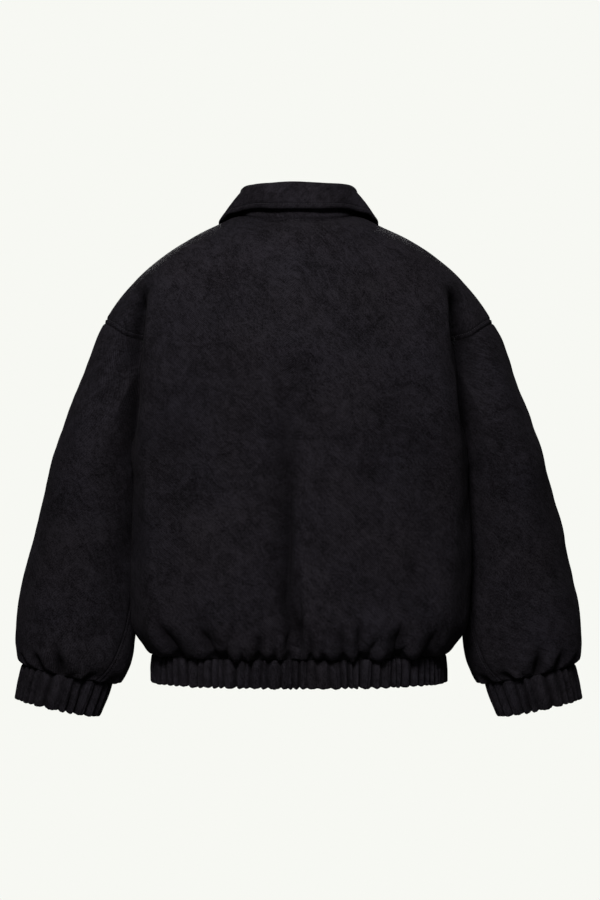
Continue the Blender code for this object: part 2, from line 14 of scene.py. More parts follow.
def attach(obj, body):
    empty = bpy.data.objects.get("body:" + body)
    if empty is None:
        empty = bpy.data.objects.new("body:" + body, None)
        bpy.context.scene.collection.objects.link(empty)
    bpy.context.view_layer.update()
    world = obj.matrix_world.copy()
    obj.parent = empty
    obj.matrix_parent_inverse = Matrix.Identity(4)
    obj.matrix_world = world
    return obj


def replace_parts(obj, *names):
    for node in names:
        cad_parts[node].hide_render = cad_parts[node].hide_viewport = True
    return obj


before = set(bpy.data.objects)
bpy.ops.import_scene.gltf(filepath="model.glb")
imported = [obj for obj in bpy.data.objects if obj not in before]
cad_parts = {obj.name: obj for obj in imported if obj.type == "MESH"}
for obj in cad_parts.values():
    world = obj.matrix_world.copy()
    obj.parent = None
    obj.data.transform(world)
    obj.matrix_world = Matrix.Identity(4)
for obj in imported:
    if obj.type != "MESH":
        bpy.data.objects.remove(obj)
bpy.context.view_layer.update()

# The picture. The jacket is seen from behind, level and from 4 m away. The floor is a wide pale
# sheet and a pale dome stands round it, which only the camera sees. The light is soft: a little
# from all round, and large lamps above the back, above the front, overhead and low behind.
PICTURE_HEIGHT = 1.215
CAMERA_PLACE = (-0.002, 4.0, -0.3105)
FILM_LONG_SIDE = 36
JACKET_MIDDLE = (0, 0, -0.3)
FLOOR_HEIGHT = -0.96
PALE = (0.930, 0.939, 0.896)
ROOM_LIGHT = 0.065

scene = bpy.context.scene
scene.view_settings.view_transform = "Standard"
camera = bpy.data.objects.new("camera", bpy.data.cameras.new("camera"))
camera.data.sensor_width = FILM_LONG_SIDE
camera.data.lens = FILM_LONG_SIDE * CAMERA_PLACE[1] / PICTURE_HEIGHT
camera.location = CAMERA_PLACE
camera.rotation_euler = (math.radians(90), 0, math.radians(180))
scene.collection.objects.link(camera)
scene.camera = camera

world = bpy.data.worlds.new("pale_room")
world.use_nodes = True
world.node_tree.nodes["Background"].inputs["Color"].default_value = (*PALE, 1)
world.node_tree.nodes["Background"].inputs["Strength"].default_value = ROOM_LIGHT
scene.world = world


def add_softbox(name, place, target, width, height, power):
    lamp = bpy.data.lights.new(name, "AREA")
    lamp.shape = "RECTANGLE"
    lamp.size, lamp.size_y = width, height
    lamp.energy = power
    softbox = bpy.data.objects.new(name, lamp)
    softbox.location = place
    aim = Vector(target) - softbox.location
    softbox.rotation_euler = aim.to_track_quat("-Z", "Y").to_euler()
    softbox.visible_camera = False
    scene.collection.objects.link(softbox)


add_softbox("light_behind", (0.36, 2.7, 1.5), JACKET_MIDDLE, 0.9, 0.8, 96)
add_softbox("light_in_front", (0.1, -3.0, 1.0), JACKET_MIDDLE, 1.0, 0.9, 75)
add_softbox("light_overhead", (0, 0.2, 2.6), JACKET_MIDDLE, 1.6, 0.8, 9)
add_softbox("light_low", (0, 2.2, -1.3), (0, 0, -0.55), 1.6, 0.7, 3.5)


def mesh_of(form, name):
    """A mesh made from a form, which is then let go."""
    mesh = bpy.data.meshes.new(name)
    form.to_mesh(mesh)
    form.free()
    return mesh


pale_paper = bpy.data.materials.new("pale_paper")
pale_paper.use_nodes = True
paper_shader = pale_paper.node_tree.nodes["Principled BSDF"]
paper_shader.inputs["Base Color"].default_value = (0, 0, 0, 1)
paper_shader.inputs["Specular IOR Level"].default_value = 0.0
paper_shader.inputs["Emission Color"].default_value = (*PALE, 1)
paper_shader.inputs["Emission Strength"].default_value = 1.0

floor_form = bmesh.new()
bmesh.ops.create_grid(floor_form, x_segments=1, y_segments=1, size=12)
bmesh.ops.translate(floor_form, verts=floor_form.verts, vec=(0, 0, FLOOR_HEIGHT))
dome_form = bmesh.new()
bmesh.ops.create_uvsphere(dome_form, u_segments=48, v_segments=24, radius=20)
bmesh.ops.reverse_faces(dome_form, faces=dome_form.faces)
for stage_name, stage_form in (("floor", floor_form), ("dome", dome_form)):
    stage_mesh = mesh_of(stage_form, stage_name)
    stage_mesh.materials.append(pale_paper)
    stage_piece = bpy.data.objects.new(stage_name, stage_mesh)
    stage_piece.visible_diffuse = False
    stage_piece.visible_glossy = False
    stage_piece.visible_shadow = False
    scene.collection.objects.link(stage_piece)

# The cloth. Matt black cotton twill, brushed and washed, so that its black is cloudy and its
# surface has a short nap over fine diagonal ribs. The lining inside is smooth black cloth.
MM = 0.001
TWILL_PITCH = 1.7 * MM


class Yarn:
    """A value in a material's nodes. Sums that are written with it become nodes."""

    def __init__(self, tree, socket=None):
        self.tree = tree
        self.socket = socket

    def node(self, kind, settings, inlets, outlet=0):
        made = self.tree.nodes.new(kind)
        for name, value in settings.items():
            setattr(made, name, value)
        for name, value in inlets.items():
            if isinstance(value, Yarn):
                self.tree.links.new(value.socket, made.inputs[name])
            else:
                made.inputs[name].default_value = value
        return Yarn(self.tree, made.outputs[outlet])

    def sum(self, operation, first, second=0.0):
        return self.node("ShaderNodeMath", {"operation": operation}, {0: first, 1: second})

    def __add__(self, other):
        return self.sum("ADD", self, other)

    __radd__ = __add__

    def __sub__(self, other):
        return self.sum("SUBTRACT", self, other)

    def __rsub__(self, other):
        return self.sum("SUBTRACT", other, self)

    def __mul__(self, other):
        return self.sum("MULTIPLY", self, other)


def new_material(name, constants):
    material = bpy.data.materials.new(name)
    material.use_nodes = True
    shader = material.node_tree.nodes["Principled BSDF"]
    for socket, value in constants.items():
        shader.inputs[socket].default_value = value
    return material, shader, Yarn(material.node_tree)


def feed(yarn, shader, socket):
    yarn.tree.links.new(yarn.socket, shader.inputs[socket])


def noise(yarn, place, scale, detail, roughness=0.5, wisps=0.0):
    """Cloudy noise at a place, of so many clouds to a metre, pulled out in wisps."""
    inlets = {"Vector": place, "Scale": scale, "Detail": detail, "Roughness": roughness}
    return yarn.node("ShaderNodeTexNoise", {}, {**inlets, "Distortion": wisps})


def blend(yarn, share, first, second):
    """A tone between two others: the first where the share is 0, the second where it is 1."""
    return yarn.node("ShaderNodeMix", {"data_type": "RGBA"}, {0: share, 6: first, 7: second}, 2)


def raise_nap(yarn, shader, strength, distance, height):
    """Fine relief of the surface, drawn by the light and not by the mesh."""
    inlets = {"Strength": strength, "Distance": distance, "Height": height}
    feed(yarn.node("ShaderNodeBump", {}, inlets), shader, "Normal")


def on_cut(yarn):
    """A place on the cut in metres, and how far it lies across it and along it."""
    cut = yarn.node("ShaderNodeUVMap", {"uv_map": "cut"}, {})
    across, along = (yarn.node("ShaderNodeSeparateXYZ", {}, {0: cut}, part) for part in (0, 1))
    return cut, across, along


def make_twill():
    """Brushed black twill: cloudy wash, fine worn creases, diagonal ribs, nap and painted shade."""
    # The darkest black: the dark end of the random wash, and the painted shade in folds and seams.
    black_and_painted_shade = (0.0036, 0.0031, 0.0038, 1)
    warm_faded = (0.0200, 0.0171, 0.0199, 1)
    blue_faded = (0.0183, 0.0168, 0.0228, 1)
    constants = {
        "Sheen Weight": 0.008,
        "Sheen Roughness": 0.5,
        "Sheen Tint": (0.95, 0.86, 1.0, 1),
        "Specular IOR Level": 0.04,
    }
    material, shader, yarn = new_material("brushed_twill", constants)
    cut, across, along = on_cut(yarn)
    diagonal = across + along
    counter = across - along
    streak_place = yarn.node("ShaderNodeCombineXYZ", {}, {0: diagonal * 0.3, 1: counter})
    clouds = noise(yarn, cut, 48, 4, 0.6, 1.6)
    patches = noise(yarn, cut, 15, 3, 0.55, 0.8)
    streaks = noise(yarn, streak_place, 170, 4, 0.65, 0.4)
    specks = noise(yarn, cut, 430, 2, 0.75)
    off_crease = yarn.sum("ABSOLUTE", noise(yarn, streak_place, 105, 3, 0.5, 1.4) - 0.5)
    creases = 1.0 - yarn.sum("MINIMUM", off_crease * 15.0, 1.0)
    turn = 2 * math.pi / (TWILL_PITCH * math.sqrt(2))
    ribs = yarn.sum("SINE", counter * turn)
    wash = clouds * 0.26 + patches * 0.18 + streaks * 0.2 + specks * 0.46
    wash = wash + ribs * specks * 0.1 + creases * clouds * 0.13 - 0.0175
    shade = yarn.node("ShaderNodeMapRange", {}, {0: wash, 1: 0.435, 2: 0.665, 3: 0.0, 4: 1.0})
    faded = blend(yarn, noise(yarn, cut, 9, 1), warm_faded, blue_faded)
    # Painted shade: the tone is darkened towards black where the mesh marks folds, grooves, seams
    # and stitch lines.
    painted_shade = yarn.node("ShaderNodeAttribute", {"attribute_name": "painted_shade"}, {}, 2)
    tone_with_painted_shade = shade * (1.0 - painted_shade * 0.72)
    feed(blend(yarn, tone_with_painted_shade, black_and_painted_shade, faded), shader, "Base Color")
    feed(0.99 - shade * 0.14, shader, "Roughness")
    breaks = yarn.sum("SINE", diagonal * (turn * 0.55) + specks * 9.0)
    nap = noise(yarn, cut, 1500, 2, 0.6)
    height = ribs * 0.9 + breaks * 0.3 + nap * 1.3 + clouds * 0.8 + specks * 4.2
    raise_nap(yarn, shader, 0.6, 0.16 * MM, height)
    return material


def make_lining():
    """Plain black lining, smooth and a little shiny, with a faint fine weave."""
    constants = {"Specular IOR Level": 0.3, "Sheen Weight": 0.03, "Sheen Roughness": 0.4}
    material, shader, yarn = new_material("black_lining", constants)
    grain = noise(yarn, on_cut(yarn)[0], 900, 2, 0.6)
    tone = blend(yarn, grain, (0.008, 0.008, 0.009, 1), (0.014, 0.014, 0.016, 1))
    feed(tone, shader, "Base Color")
    feed(0.42 + grain * 0.16, shader, "Roughness")
    raise_nap(yarn, shader, 0.3, 0.05 * MM, grain)
    return material


twill = make_twill()
lining = make_lining()

# The back. One panel of twill over padding, with dropped shoulders, cut from the neck and
# shoulder seams down to the hem band, where its fullness is gathered in small uneven folds.
HEM_ROW = 12
ARMPIT_ROW = 7
NECK_ACROSS = 0.25
BACK_NECK_ROW = 1.83
FRONT_NECK_ROW = -2.9
NECK_COLUMNS = 62
ZIP_ROOM = 7.6 * MM
SLOPE_STEP = 0.004
ARMHOLE_OUTWARD = np.array([0.95, 0, -0.31])
HEM_HALF_WIDTH, HEM_HALF_DEPTH = 195 * MM, 119 * MM
# How far the hem seam stands out behind, and how far up the panel that reaches
HEM_STANDS_OUT, STAND_REACH = 11 * MM, 50 * MM
# Seams: the gap in them, how far off the cloth starts to lean to them, how far the inner face
# laps over them, how deep the cloth rolls down into them, and where their topstitches lie
SEAM_GAP, SEAM_LEAN = 0.3 * MM, 14 * MM
HEM_LAP, SHOULDER_LAP = 2 * MM, 1.5 * MM
GATHERED_DIP, SHOULDER_DIP = 1.2 * MM, 2.2 * MM
ARMPIT_DIP, ARMHOLE_DIP = 0.7 * MM, 2.6 * MM
SIDE_STITCH, TOP_STITCH, FRONT_STITCH = 5.4 * MM, 5.0 * MM, 7.0 * MM
# Padding: how thick it is, how far from its edges it is full, and how thin a fold may press it
PADDING, PADDING_REACH, THINNEST = 8 * MM, 18 * MM, 1.4 * MM
# How deep a fold and the trough have to be for their painted shade to be full
DARK_FOLD, DARK_TROUGH = 6 * MM, 17 * MM

# Rows of the body in millimetres, from the front hem over the shoulder to the back hem. Each is
# a cubic curve from the centre line to the side: centre y z, inner handle x y z, outer handle
BODY_ROWS = np.array(
    [
        (-119, -584.7, 106, -119, -584.7, 195, -70, -584.7),
        (-134, -573, 122, -139, -574, 207, -82, -574),
        (-141, -545, 132, -149, -546, 215, -88, -546),
        (-143, -490, 134, -148, -491, 213, -88, -488),
        (-141, -418, 132, -145, -417, 212, -88, -408),
        (-139, -342, 128, -143, -341, 216, -94, -328),
        (-136, -268, 124, -141, -268, 224, -116, -270),
        (-131, -195, 118, -137, -195, 224, -130, -208),
        (-122, -128, 112, -130, -128, 223, -126, -152),
        (-104, -70, 106, -112, -72, 219, -104, -100),
        (-78, -22, 102, -82, -26, 216, -74, -64),
        (-44, 7, 100, -42, -2, 211, -38, -48),
        (0, 18, 100, 0, 8, 208, 0, -42),
        (42, 12, 100, 42, 2, 211, 38, -48),
        (82, -8, 102, 84, -18, 216, 76, -62),
        (114, -46, 106, 118, -56, 219, 108, -96),
        (134, -104, 112, 139, -112, 223, 132, -146),
        (143, -176, 118, 147, -180, 232, 136, -200),
        (145, -255, 124, 148, -257, 252, 120, -265),
        (143, -335, 128, 146, -334, 256, 96, -325),
        (143, -415, 132, 146, -414, 236, 92, -408),
        (147, -490, 134, 150, -490, 227, 94, -488),
        (149, -545, 132, 152, -546, 224, 92, -546),
        (139, -573, 122, 141, -574, 207, 84, -574),
        (119, -584.7, 106, 119, -584.7, 195, 70, -584.7),
    ],
    float,
)
# Where the rows end, x y z: round the armhole from the shoulder, and down the side seam
ARMHOLE_ENDS = np.array(
    [
        (262, 0, -138),
        (253, 30, -142),
        (236, 54, -154),
        (218, 68, -174),
        (207, 70, -205),
        (202, 60, -243),
        (204, 35, -281),
        (210, 0, -297),
        (204, -35, -282),
        (201, -64, -246),
        (206, -76, -209),
        (218, -74, -178),
        (236, -56, -156),
        (253, -30, -143),
    ],
    float,
)
SIDE_ENDS = np.array(
    [
        (210, 0, -297),
        (222, 6, -395),
        (226, 8, -485),
        (224, 6, -546),
        (207, 3, -574),
        (195, 0, -584.7),
    ],
    float,
)
# Share of a fold's length over which it deepens, and the half width of its sharp line and the
# place and half width of the ridges beside it, in half widths of the fold
FOLD_BUILD, FOLD_CREASE, RIDGE_PLACE, RIDGE_WIDTH = 0.62, 0.26, 1.7, 0.9
# Deep folds: start x z, end x z, depth, half width, in millimetres, deeper towards the end
DEEP_FOLDS = [
    (209, -78, 221, -190, 24, 11),
    (-208, -84, -220, -192, 24, 11),
    (17, -262, 16, -450, 7, 26),
    (16, -450, -4, -570, 8, 17),
]
# The trough down the middle of the back, beyond the solid's: heights, places across, depths and
# how far its steep right wall reaches, in millimetres. Its left wall slopes
TROUGH_HEIGHTS = (190, 250, 303, 344, 385, 425, 466, 506, 543, 584)
TROUGH_PLACES = (21, 19, 17, 11, 12.5, 11, 12, 11, 1, -5)
TROUGH_DEPTHS = (0, 4, 8, 11, 17, 19, 20, 20, 20, 18)
TROUGH_EDGES = (16, 15, 13, 9, 5, 4, 3.6, 3.6, 3.6, 3.6)
TROUGH_SLOPE = 13
# Folds held by the hem seam of the back, in the same columns, then the side of the sharper ridge
BACK_PLEATS = [
    (192, -520, 155, -586, 9.0, 10, -1),
    (140, -530, 105, -586, 9.5, 12, 1),
    (92, -540, 95, -586, 8.0, 8, 0),
    (74, -568, 74, -586, 4.0, 5, 0),
    (50, -545, 53, -586, 9.0, 7, -1),
    (31, -565, 31, -586, 5.0, 5, 0),
    (4, -538, 14, -586, 7.5, 7, 1),
    (-13, -536, -16, -586, 6.5, 7, -1),
    (-27, -566, -35, -586, 5.5, 5, 0),
    (-53, -532, -60, -586, 8.0, 8, 1),
    (-78, -525, -79, -586, 9.5, 8, -1),
    (-106, -550, -88, -586, 7.0, 8, 1),
    (-136, -525, -125, -586, 9.0, 11, -1),
    (-145, -562, -131, -586, 5.0, 6, 0),
    (-182, -534, -164, -586, 8.0, 9, 1),
    (-3.4, -470, -3.4, -582, 6.5, 3.6, 0),
]
# Where the body is fuller than the plain curves: down its side, place across, width and height,
# at the armpit, place across and height, and beside the neck, place across and to the back.
# The last two have their widths in the same two directions
SIDE_CORNER = (0.62, 0.11, 7 * MM)
ARMPIT_PLACE, ARMPIT_WIDTHS, ARMPIT_RISE = (0.84, -315), (0.13, 24), 4 * MM
NECK_SIDE, NECK_WIDTHS, NECK_RISE = (84, 15), (18, 35), 3.5 * MM
# Puffs between the gathers above the hem seam: how high they stand, how far they hang over, and
# how far above a gathered seam they stand and hang most
PUFF_HEIGHT, PUFF_SAG = 1.6 * MM, 1.1 * MM
PUFF_PEAK, SAG_PEAK = 7 * MM, 4 * MM
# Waves of the padding: length, and how far from an edge they reach their full height
LONG_WAVE, LONG_FADE = 85 * MM, 30 * MM
SHORT_WAVE, SHORT_FADE, SHORT_HEIGHT = 26 * MM, 12 * MM, 0.16 * MM
# The body's edge beside the arm, where the cloth folds in: heights, places, in millimetres
LIP_HEIGHTS = (88, 102, 107, 144, 170, 206, 255, 300, 350)
LIP_PLACES = (188, 193.5, 195, 201, 203.5, 206.5, 209, 213, 216)
# Its rounded lip: how high it stands, and its top, the fade there, its foot and the fade there
LIP_RISE = 2.5 * MM
LIP_SPAN = (-84, 40, -300, 80)
# The valley between that edge and the arm: how far it draws the back and the front in, how far
# from the middle the cloth has to lie for that, how much painted shade it has, and its top and foot
# as above
VALLEY_BACK, VALLEY_FRONT = 34 * MM, 12 * MM
VALLEY_BACK_FROM, VALLEY_FRONT_FROM = 78, 50
VALLEY_PAINTED_SHADE = 0.9
VALLEY_SPAN = (-86, 40, -355, 90)
# The right half swells a little at the side: how far, where, and between which places across
SIDE_SWELL = 8 * MM
SWELL_HEIGHT, SWELL_SPREAD = -430 * MM, 120 * MM
SWELL_START, SWELL_END, SWELL_FADE = 200 * MM, 330 * MM, 100 * MM


def unit(vectors):
    return vectors / np.maximum(np.linalg.norm(vectors, axis=-1, keepdims=True), 1e-12)


def smooth_step(value):
    value = np.clip(value, 0, 1)
    return value * value * (3 - 2 * value)


def bell(value, place, reach):
    """1 at a place, fading to both sides of it within a reach."""
    return np.exp(-(((value - place) / reach) ** 2))


def bell_over(values, places, reaches):
    """The same over two directions at once."""
    return bell(values[0], places[0], reaches[0]) * bell(values[1], places[1], reaches[1])


def between(z, top, top_fade, foot, foot_fade):
    """1 between two heights, fading to 0 at the upper and at the lower one."""
    return smooth_step((top - z) / top_fade) * smooth_step((z - foot) / foot_fade)


def read_rows(table, place):
    """A table's values at a place counted in rows, on a smooth curve through the rows."""
    last = len(table) - 1
    place = np.clip(place, 0, last)
    index = np.minimum(np.floor(place).astype(int), last - 1)
    part = (place - index)[..., None]
    here, there = table[index], table[index + 1]
    before = np.where((index > 0)[..., None], table[np.maximum(index - 1, 0)], 2 * here - there)
    after_index = np.minimum(index + 2, last)
    after = np.where((index < last - 1)[..., None], table[after_index], 2 * there - here)
    slope_here = (there - before) / 2
    slope_there = (after - here) / 2
    return (
        here * (1 + 2 * part) * (1 - part) ** 2
        + slope_here * part * (1 - part) ** 2
        + there * part**2 * (3 - 2 * part)
        + slope_there * part**2 * (part - 1)
    )


def read_round(table, place):
    """The same for a table that closes on itself, like the armhole."""
    wrapped = np.concatenate([table[-2:], table, table[:3]])
    return read_rows(wrapped, np.mod(place, len(table)) + 2)


def row_end(row):
    """Where a row ends: on the armhole above the armpit, on the side seam below it."""
    armhole = read_round(ARMHOLE_ENDS, np.clip(row, -ARMPIT_ROW, ARMPIT_ROW)) * MM
    side = read_rows(SIDE_ENDS, np.abs(row) - ARMPIT_ROW) * MM
    return np.where((np.abs(row) <= ARMPIT_ROW)[..., None], armhole, side)


def fold_depth(first, second, folds, crease=0.0):
    """How deep folds press in at each place, with a sharp line in them where crease is over 0."""
    depth = np.zeros(np.shape(first))
    for start_1, start_2, end_1, end_2, full, half_width, *ridge in folds:
        run_1, run_2 = end_1 - start_1, end_2 - start_2
        length = math.hypot(run_1, run_2)
        along = ((first - start_1) * run_1 + (second - start_2) * run_2) / length**2
        held = np.clip(along, 0, 1)
        off_1 = first - start_1 - held * run_1
        off_2 = second - start_2 - held * run_2
        away = np.hypot(off_1, off_2)
        strength = full * smooth_step(held / FOLD_BUILD)
        soft = bell(away, 0, half_width)
        sharp = np.exp(-away / (FOLD_CREASE * half_width))
        depth += strength * (soft * (1 - crease) + sharp * crease)
        if ridge:
            aside = (off_1 * run_2 - off_2 * run_1) / length
            for sign in (-1, 1):
                share = 0.24 + 0.2 * (sign == ridge[0])
                ridge_place = sign * RIDGE_PLACE * half_width
                beyond = np.hypot(aside - ridge_place, away - np.abs(aside))
                depth -= strength * share * bell(beyond, 0, RIDGE_WIDTH * half_width)
    return depth


def trough_depth(x, z):
    """Depth of the back's trough, less the rounded ridge that stands to the right of it."""
    columns = (TROUGH_PLACES, TROUGH_DEPTHS, TROUGH_EDGES)
    place, depth, edge = (np.interp(-z, TROUGH_HEIGHTS, column) for column in columns)
    aside = x - place
    away = np.abs(aside) / np.where(aside > 0, TROUGH_SLOPE, edge)
    sharp = smooth_step((-z - 300) / 90)
    ridge = 0.25 * bell(aside, -20, 13)
    return depth * (np.exp(-(away**2)) * (1 - sharp) + np.exp(-away) * sharp - ridge)


def body_base(across, row):
    """Outer cloth of the left half before any fold: across 0 at the centre, 1 at the side."""
    across, row = np.broadcast_arrays(np.asarray(across, float), np.asarray(row, float))
    values = read_rows(BODY_ROWS, row + HEM_ROW) * MM
    centre = np.concatenate([np.zeros(values.shape[:-1] + (1,)), values[..., :2]], -1)
    inner, outer, end = values[..., 2:5], values[..., 5:8], row_end(row)
    t = across[..., None]
    point = (
        centre * (1 - t) ** 3
        + 3 * inner * t * (1 - t) ** 2
        + 3 * outer * t**2 * (1 - t)
        + end * t**3
    )
    point[..., 0] += ZIP_ROOM * (1 - across) ** 6 * np.clip(-row, 0, 1)
    return point


def outward(surface, first, second):
    """Unit normal of a surface function of two values, from small steps along both."""
    along_1 = surface(first + SLOPE_STEP, second) - surface(first - SLOPE_STEP, second)
    along_2 = surface(first, second + SLOPE_STEP) - surface(first, second - SLOPE_STEP)
    return unit(np.cross(along_1, along_2))


def body_point(across, row, side):
    """Outer cloth of one half with the deep folds, side 1 for the left half, -1 for the right."""
    across, row = np.broadcast_arrays(np.asarray(across, float), np.asarray(row, float))
    base = body_base(across, row)
    depth = fold_depth(side * base[..., 0] / MM, base[..., 2] / MM, DEEP_FOLDS) * MM
    depth = np.where(row > 0, depth * smooth_step(HEM_ROW - row), 0)
    within = HEM_ROW - 2 * SLOPE_STEP
    normal = outward(body_base, across, np.clip(row, -within, within))
    return base - normal * depth[..., None]


def settle(points, side):
    """Mirrors the right half and lets it stand out a little more than the left."""
    points = np.array(points, float)
    if side < 0:
        aside = points[..., 0]
        swell = SIDE_SWELL * bell(points[..., 2], SWELL_HEIGHT, SWELL_SPREAD)
        near = smooth_step((SWELL_END - aside) / SWELL_FADE) * smooth_step(aside / SWELL_START)
        points[..., 0] = -(aside + swell * near)
    return points


def close_up(steps, pull):
    """Places from 0 to 1 that lie closer together towards both ends."""
    even = np.linspace(0, 1, steps + 1)
    return even - pull * np.sin(2 * math.pi * even) / (2 * math.pi)


def panel_places(front, neck_steps=NECK_COLUMNS, shoulder_steps=88, down_steps=152):
    """Places across and rows of one half of a panel, row by row from the top edge down."""
    neck_part = 0.375
    part = np.concatenate(
        [
            neck_part * np.linspace(0, 1, neck_steps + 1),
            neck_part + (1 - neck_part) * close_up(shoulder_steps, 0.35)[1:],
        ]
    )
    part[: neck_steps + 1] = neck_part * (part[: neck_steps + 1] / neck_part) ** 1.2
    turn = np.clip(part / neck_part, 0, 1) * math.pi / 2
    beyond = np.clip((part - neck_part) / (1 - neck_part), 0, 1)
    top_across = NECK_ACROSS * np.sin(turn) + (1 - NECK_ACROSS) * beyond
    top_row = (FRONT_NECK_ROW if front else BACK_NECK_ROW) * np.cos(turn)
    top_row[neck_steps:] = 0
    down = HEM_ROW * close_up(down_steps, 0.55)
    share = ((1 - down / HEM_ROW) ** 2)[:, None]
    row = (-1 if front else 1) * down[:, None] + top_row[None, :] * share
    across = part[None, :] * (1 - share) + top_across[None, :] * share
    return across, row


def run_lengths(points, axis):
    """Length along the grid from its first row or column to each point."""
    steps = np.linalg.norm(np.diff(points, axis=axis), axis=-1)
    total = np.cumsum(steps, axis=axis)
    return np.insert(total, 0, 0, axis=axis)


def grid_normals(points, like):
    """Normals of a grid of points, all on the side that most of the rough directions give."""
    normal = unit(np.cross(np.gradient(points, axis=1), np.gradient(points, axis=0)))
    return normal * np.sign(np.median((normal * like).sum(-1)))


def lean_to(normal, way, near):
    """Turns normals to a seam's own direction, fully where near is 1."""
    return unit(normal * (1 - near[..., None]) + way * near[..., None])


def unevenness(points, seed, size, height):
    """Soft unevenness of the padding: long waves in many directions."""
    draw = np.random.default_rng(seed)
    total = np.zeros(points.shape[:-1])
    count = 16
    for _ in range(count):
        way = unit(draw.normal(size=3)) * 2 * math.pi / (size * draw.uniform(0.6, 1.7))
        total += np.sin(points @ way + draw.uniform(0, 2 * math.pi))
    return height * total / math.sqrt(count / 2)


def seam_dip(distance, depth=2.0 * MM, reach=2.6 * MM):
    """How far cloth rolls down into a seam at some distance from it."""
    return -depth * np.exp(-distance / reach)


def armhole_dip(turn):
    """Depth of the armhole seam: shallow at the armpit, where the turn is 1 or -1."""
    return ARMPIT_DIP + (ARMHOLE_DIP - ARMPIT_DIP) * smooth_step((0.88 - np.abs(turn)) / 0.15)


def stitch_dip(distance, place, depth=1.0 * MM, half_width=1.3 * MM):
    """The narrow valley under a row of topstitches, and the raised strip from it to the seam."""
    strip = 0.5 * depth * bell(distance, 0.55 * place, 0.22 * place)
    return strip - depth * bell(distance, place, half_width)


def hill(distance, peak):
    """Rises from 0 at a seam to 1 at some distance from it and fades slowly beyond."""
    return distance / peak * np.exp(1 - distance / peak)


def make_gathers(length, pitch, seed):
    """Uneven gathers along a length: where each begins, and how high it stands."""
    draw = np.random.default_rng(seed)
    steps = draw.uniform(0.5, 1.5, int(length / pitch))
    starts = np.concatenate([[0], np.cumsum(steps) / steps.sum() * length])
    return starts, draw.uniform(0.6, 1.2, len(steps) + 1), draw.uniform(0.2, 1.1, len(steps) + 1)


def gathered(place, gathers):
    """Height of the gathers at places along them: round ridges with narrow grooves between."""
    starts, heights, grooves = gathers
    index = np.clip(np.searchsorted(starts, place, side="right") - 1, 0, len(starts) - 2)
    phase = (place - starts[index]) / (starts[index + 1] - starts[index])
    phase = np.clip(phase, 0, 1)
    floor = grooves[index] * (1 - phase) + grooves[index + 1] * phase
    return (heights[index] + floor) * np.sin(math.pi * phase) ** 1.05 - floor


def hem_line(columns):
    """Level outline of the hem, from the left of the zip round the back to its right."""
    across = np.linspace(0, 1, 90)
    front = body_base(across, np.full_like(across, -HEM_ROW))
    back = body_base(across[::-1], np.full_like(across, HEM_ROW))
    left = np.concatenate([front, back[1:]])
    line = np.concatenate([left, left[-2::-1] * np.array([-1, 1, 1])])
    length = run_lengths(line, 0)
    place = np.linspace(0, length[-1], columns)
    return np.stack([np.interp(place, length, line[:, i]) for i in range(3)], -1), length[-1]


hem_outline, hem_length = hem_line(400)
hem_gathers = make_gathers(hem_length, 11.6 * MM, 11)
hem_puffs = make_gathers(hem_length, 23 * MM, 12)
hem_turn = np.unwrap(np.arctan2(hem_outline[:, 0], -hem_outline[:, 1]))


def along_hem(points):
    """How far round the hem line each point lies."""
    turn = np.arctan2(points[..., 0], -points[..., 1])
    turn = np.where(turn < 0, turn + 2 * math.pi, turn)
    return np.interp(turn, hem_turn, np.linspace(0, hem_length, len(hem_turn)))


def add_piece(name, mesh):
    """A new piece of the jacket, which moves with it."""
    piece = bpy.data.objects.new(name, mesh)
    scene.collection.objects.link(piece)
    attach(piece, "jacket")
    return piece


def cloth_wall(name, outer, inner, cut, painted_shade=None, slot="cloth", cloths=(twill, lining)):
    """A closed wall between two grids of points, of one cloth outside and at its edges and of
    another inside.
    """
    rows, columns = outer.shape[:2]
    form = bmesh.new()
    bmesh.ops.create_grid(form, x_segments=columns - 1, y_segments=rows - 1, size=0.5)
    place = form.verts.layers.int.new("place")
    for vert in form.verts:
        vert[place] = vert.index
    bmesh.ops.extrude_face_region(form, geom=form.faces[:], use_keep_orig=True)
    mesh = mesh_of(form, name)
    index = np.zeros(len(mesh.vertices), np.int32)
    mesh.attributes["place"].data.foreach_get("value", index)
    mesh.attributes.remove(mesh.attributes["place"])
    is_outer = np.arange(len(index)) < rows * columns
    points = np.where(is_outer[:, None], *(layer.reshape(-1, 3)[index] for layer in (outer, inner)))
    mesh.vertices.foreach_set("co", points.astype(np.float32).ravel())
    # Painted shade, stored on the mesh for the cloth's colour.
    if painted_shade is not None:
        depths = np.clip(painted_shade, 0, 1).ravel()[index].astype(np.float32)
        mesh.attributes.new("painted_shade", "FLOAT", "POINT").data.foreach_set("value", depths)
    corner = np.zeros(len(mesh.loops), np.int32)
    mesh.loops.foreach_get("vertex_index", corner)
    uv_map = mesh.uv_layers.new(name="cut")
    uv_map.data.foreach_set("uv", cut.reshape(-1, 2)[index[corner]].astype(np.float32).ravel())
    for cloth in cloths:
        mesh.materials.append(cloth)
    inside = (~is_outer[corner]).reshape(-1, 4).all(1)
    mesh.polygons.foreach_set("material_index", inside.astype(np.int32))
    form = bmesh.new()
    form.from_mesh(mesh)
    bmesh.ops.recalc_face_normals(form, faces=form.faces)
    form.to_mesh(mesh)
    form.free()
    mesh.shade_smooth()
    return add_piece(name, mesh)


def armhole_way(turn):
    """Way out from the armhole's middle, within its plane, that body and sleeve share there."""
    ahead = read_round(ARMHOLE_ENDS, (turn + SLOPE_STEP) * ARMPIT_ROW)
    behind = read_round(ARMHOLE_ENDS, (turn - SLOPE_STEP) * ARMPIT_ROW)
    return -unit(np.cross(ahead - behind, ARMHOLE_OUTWARD))


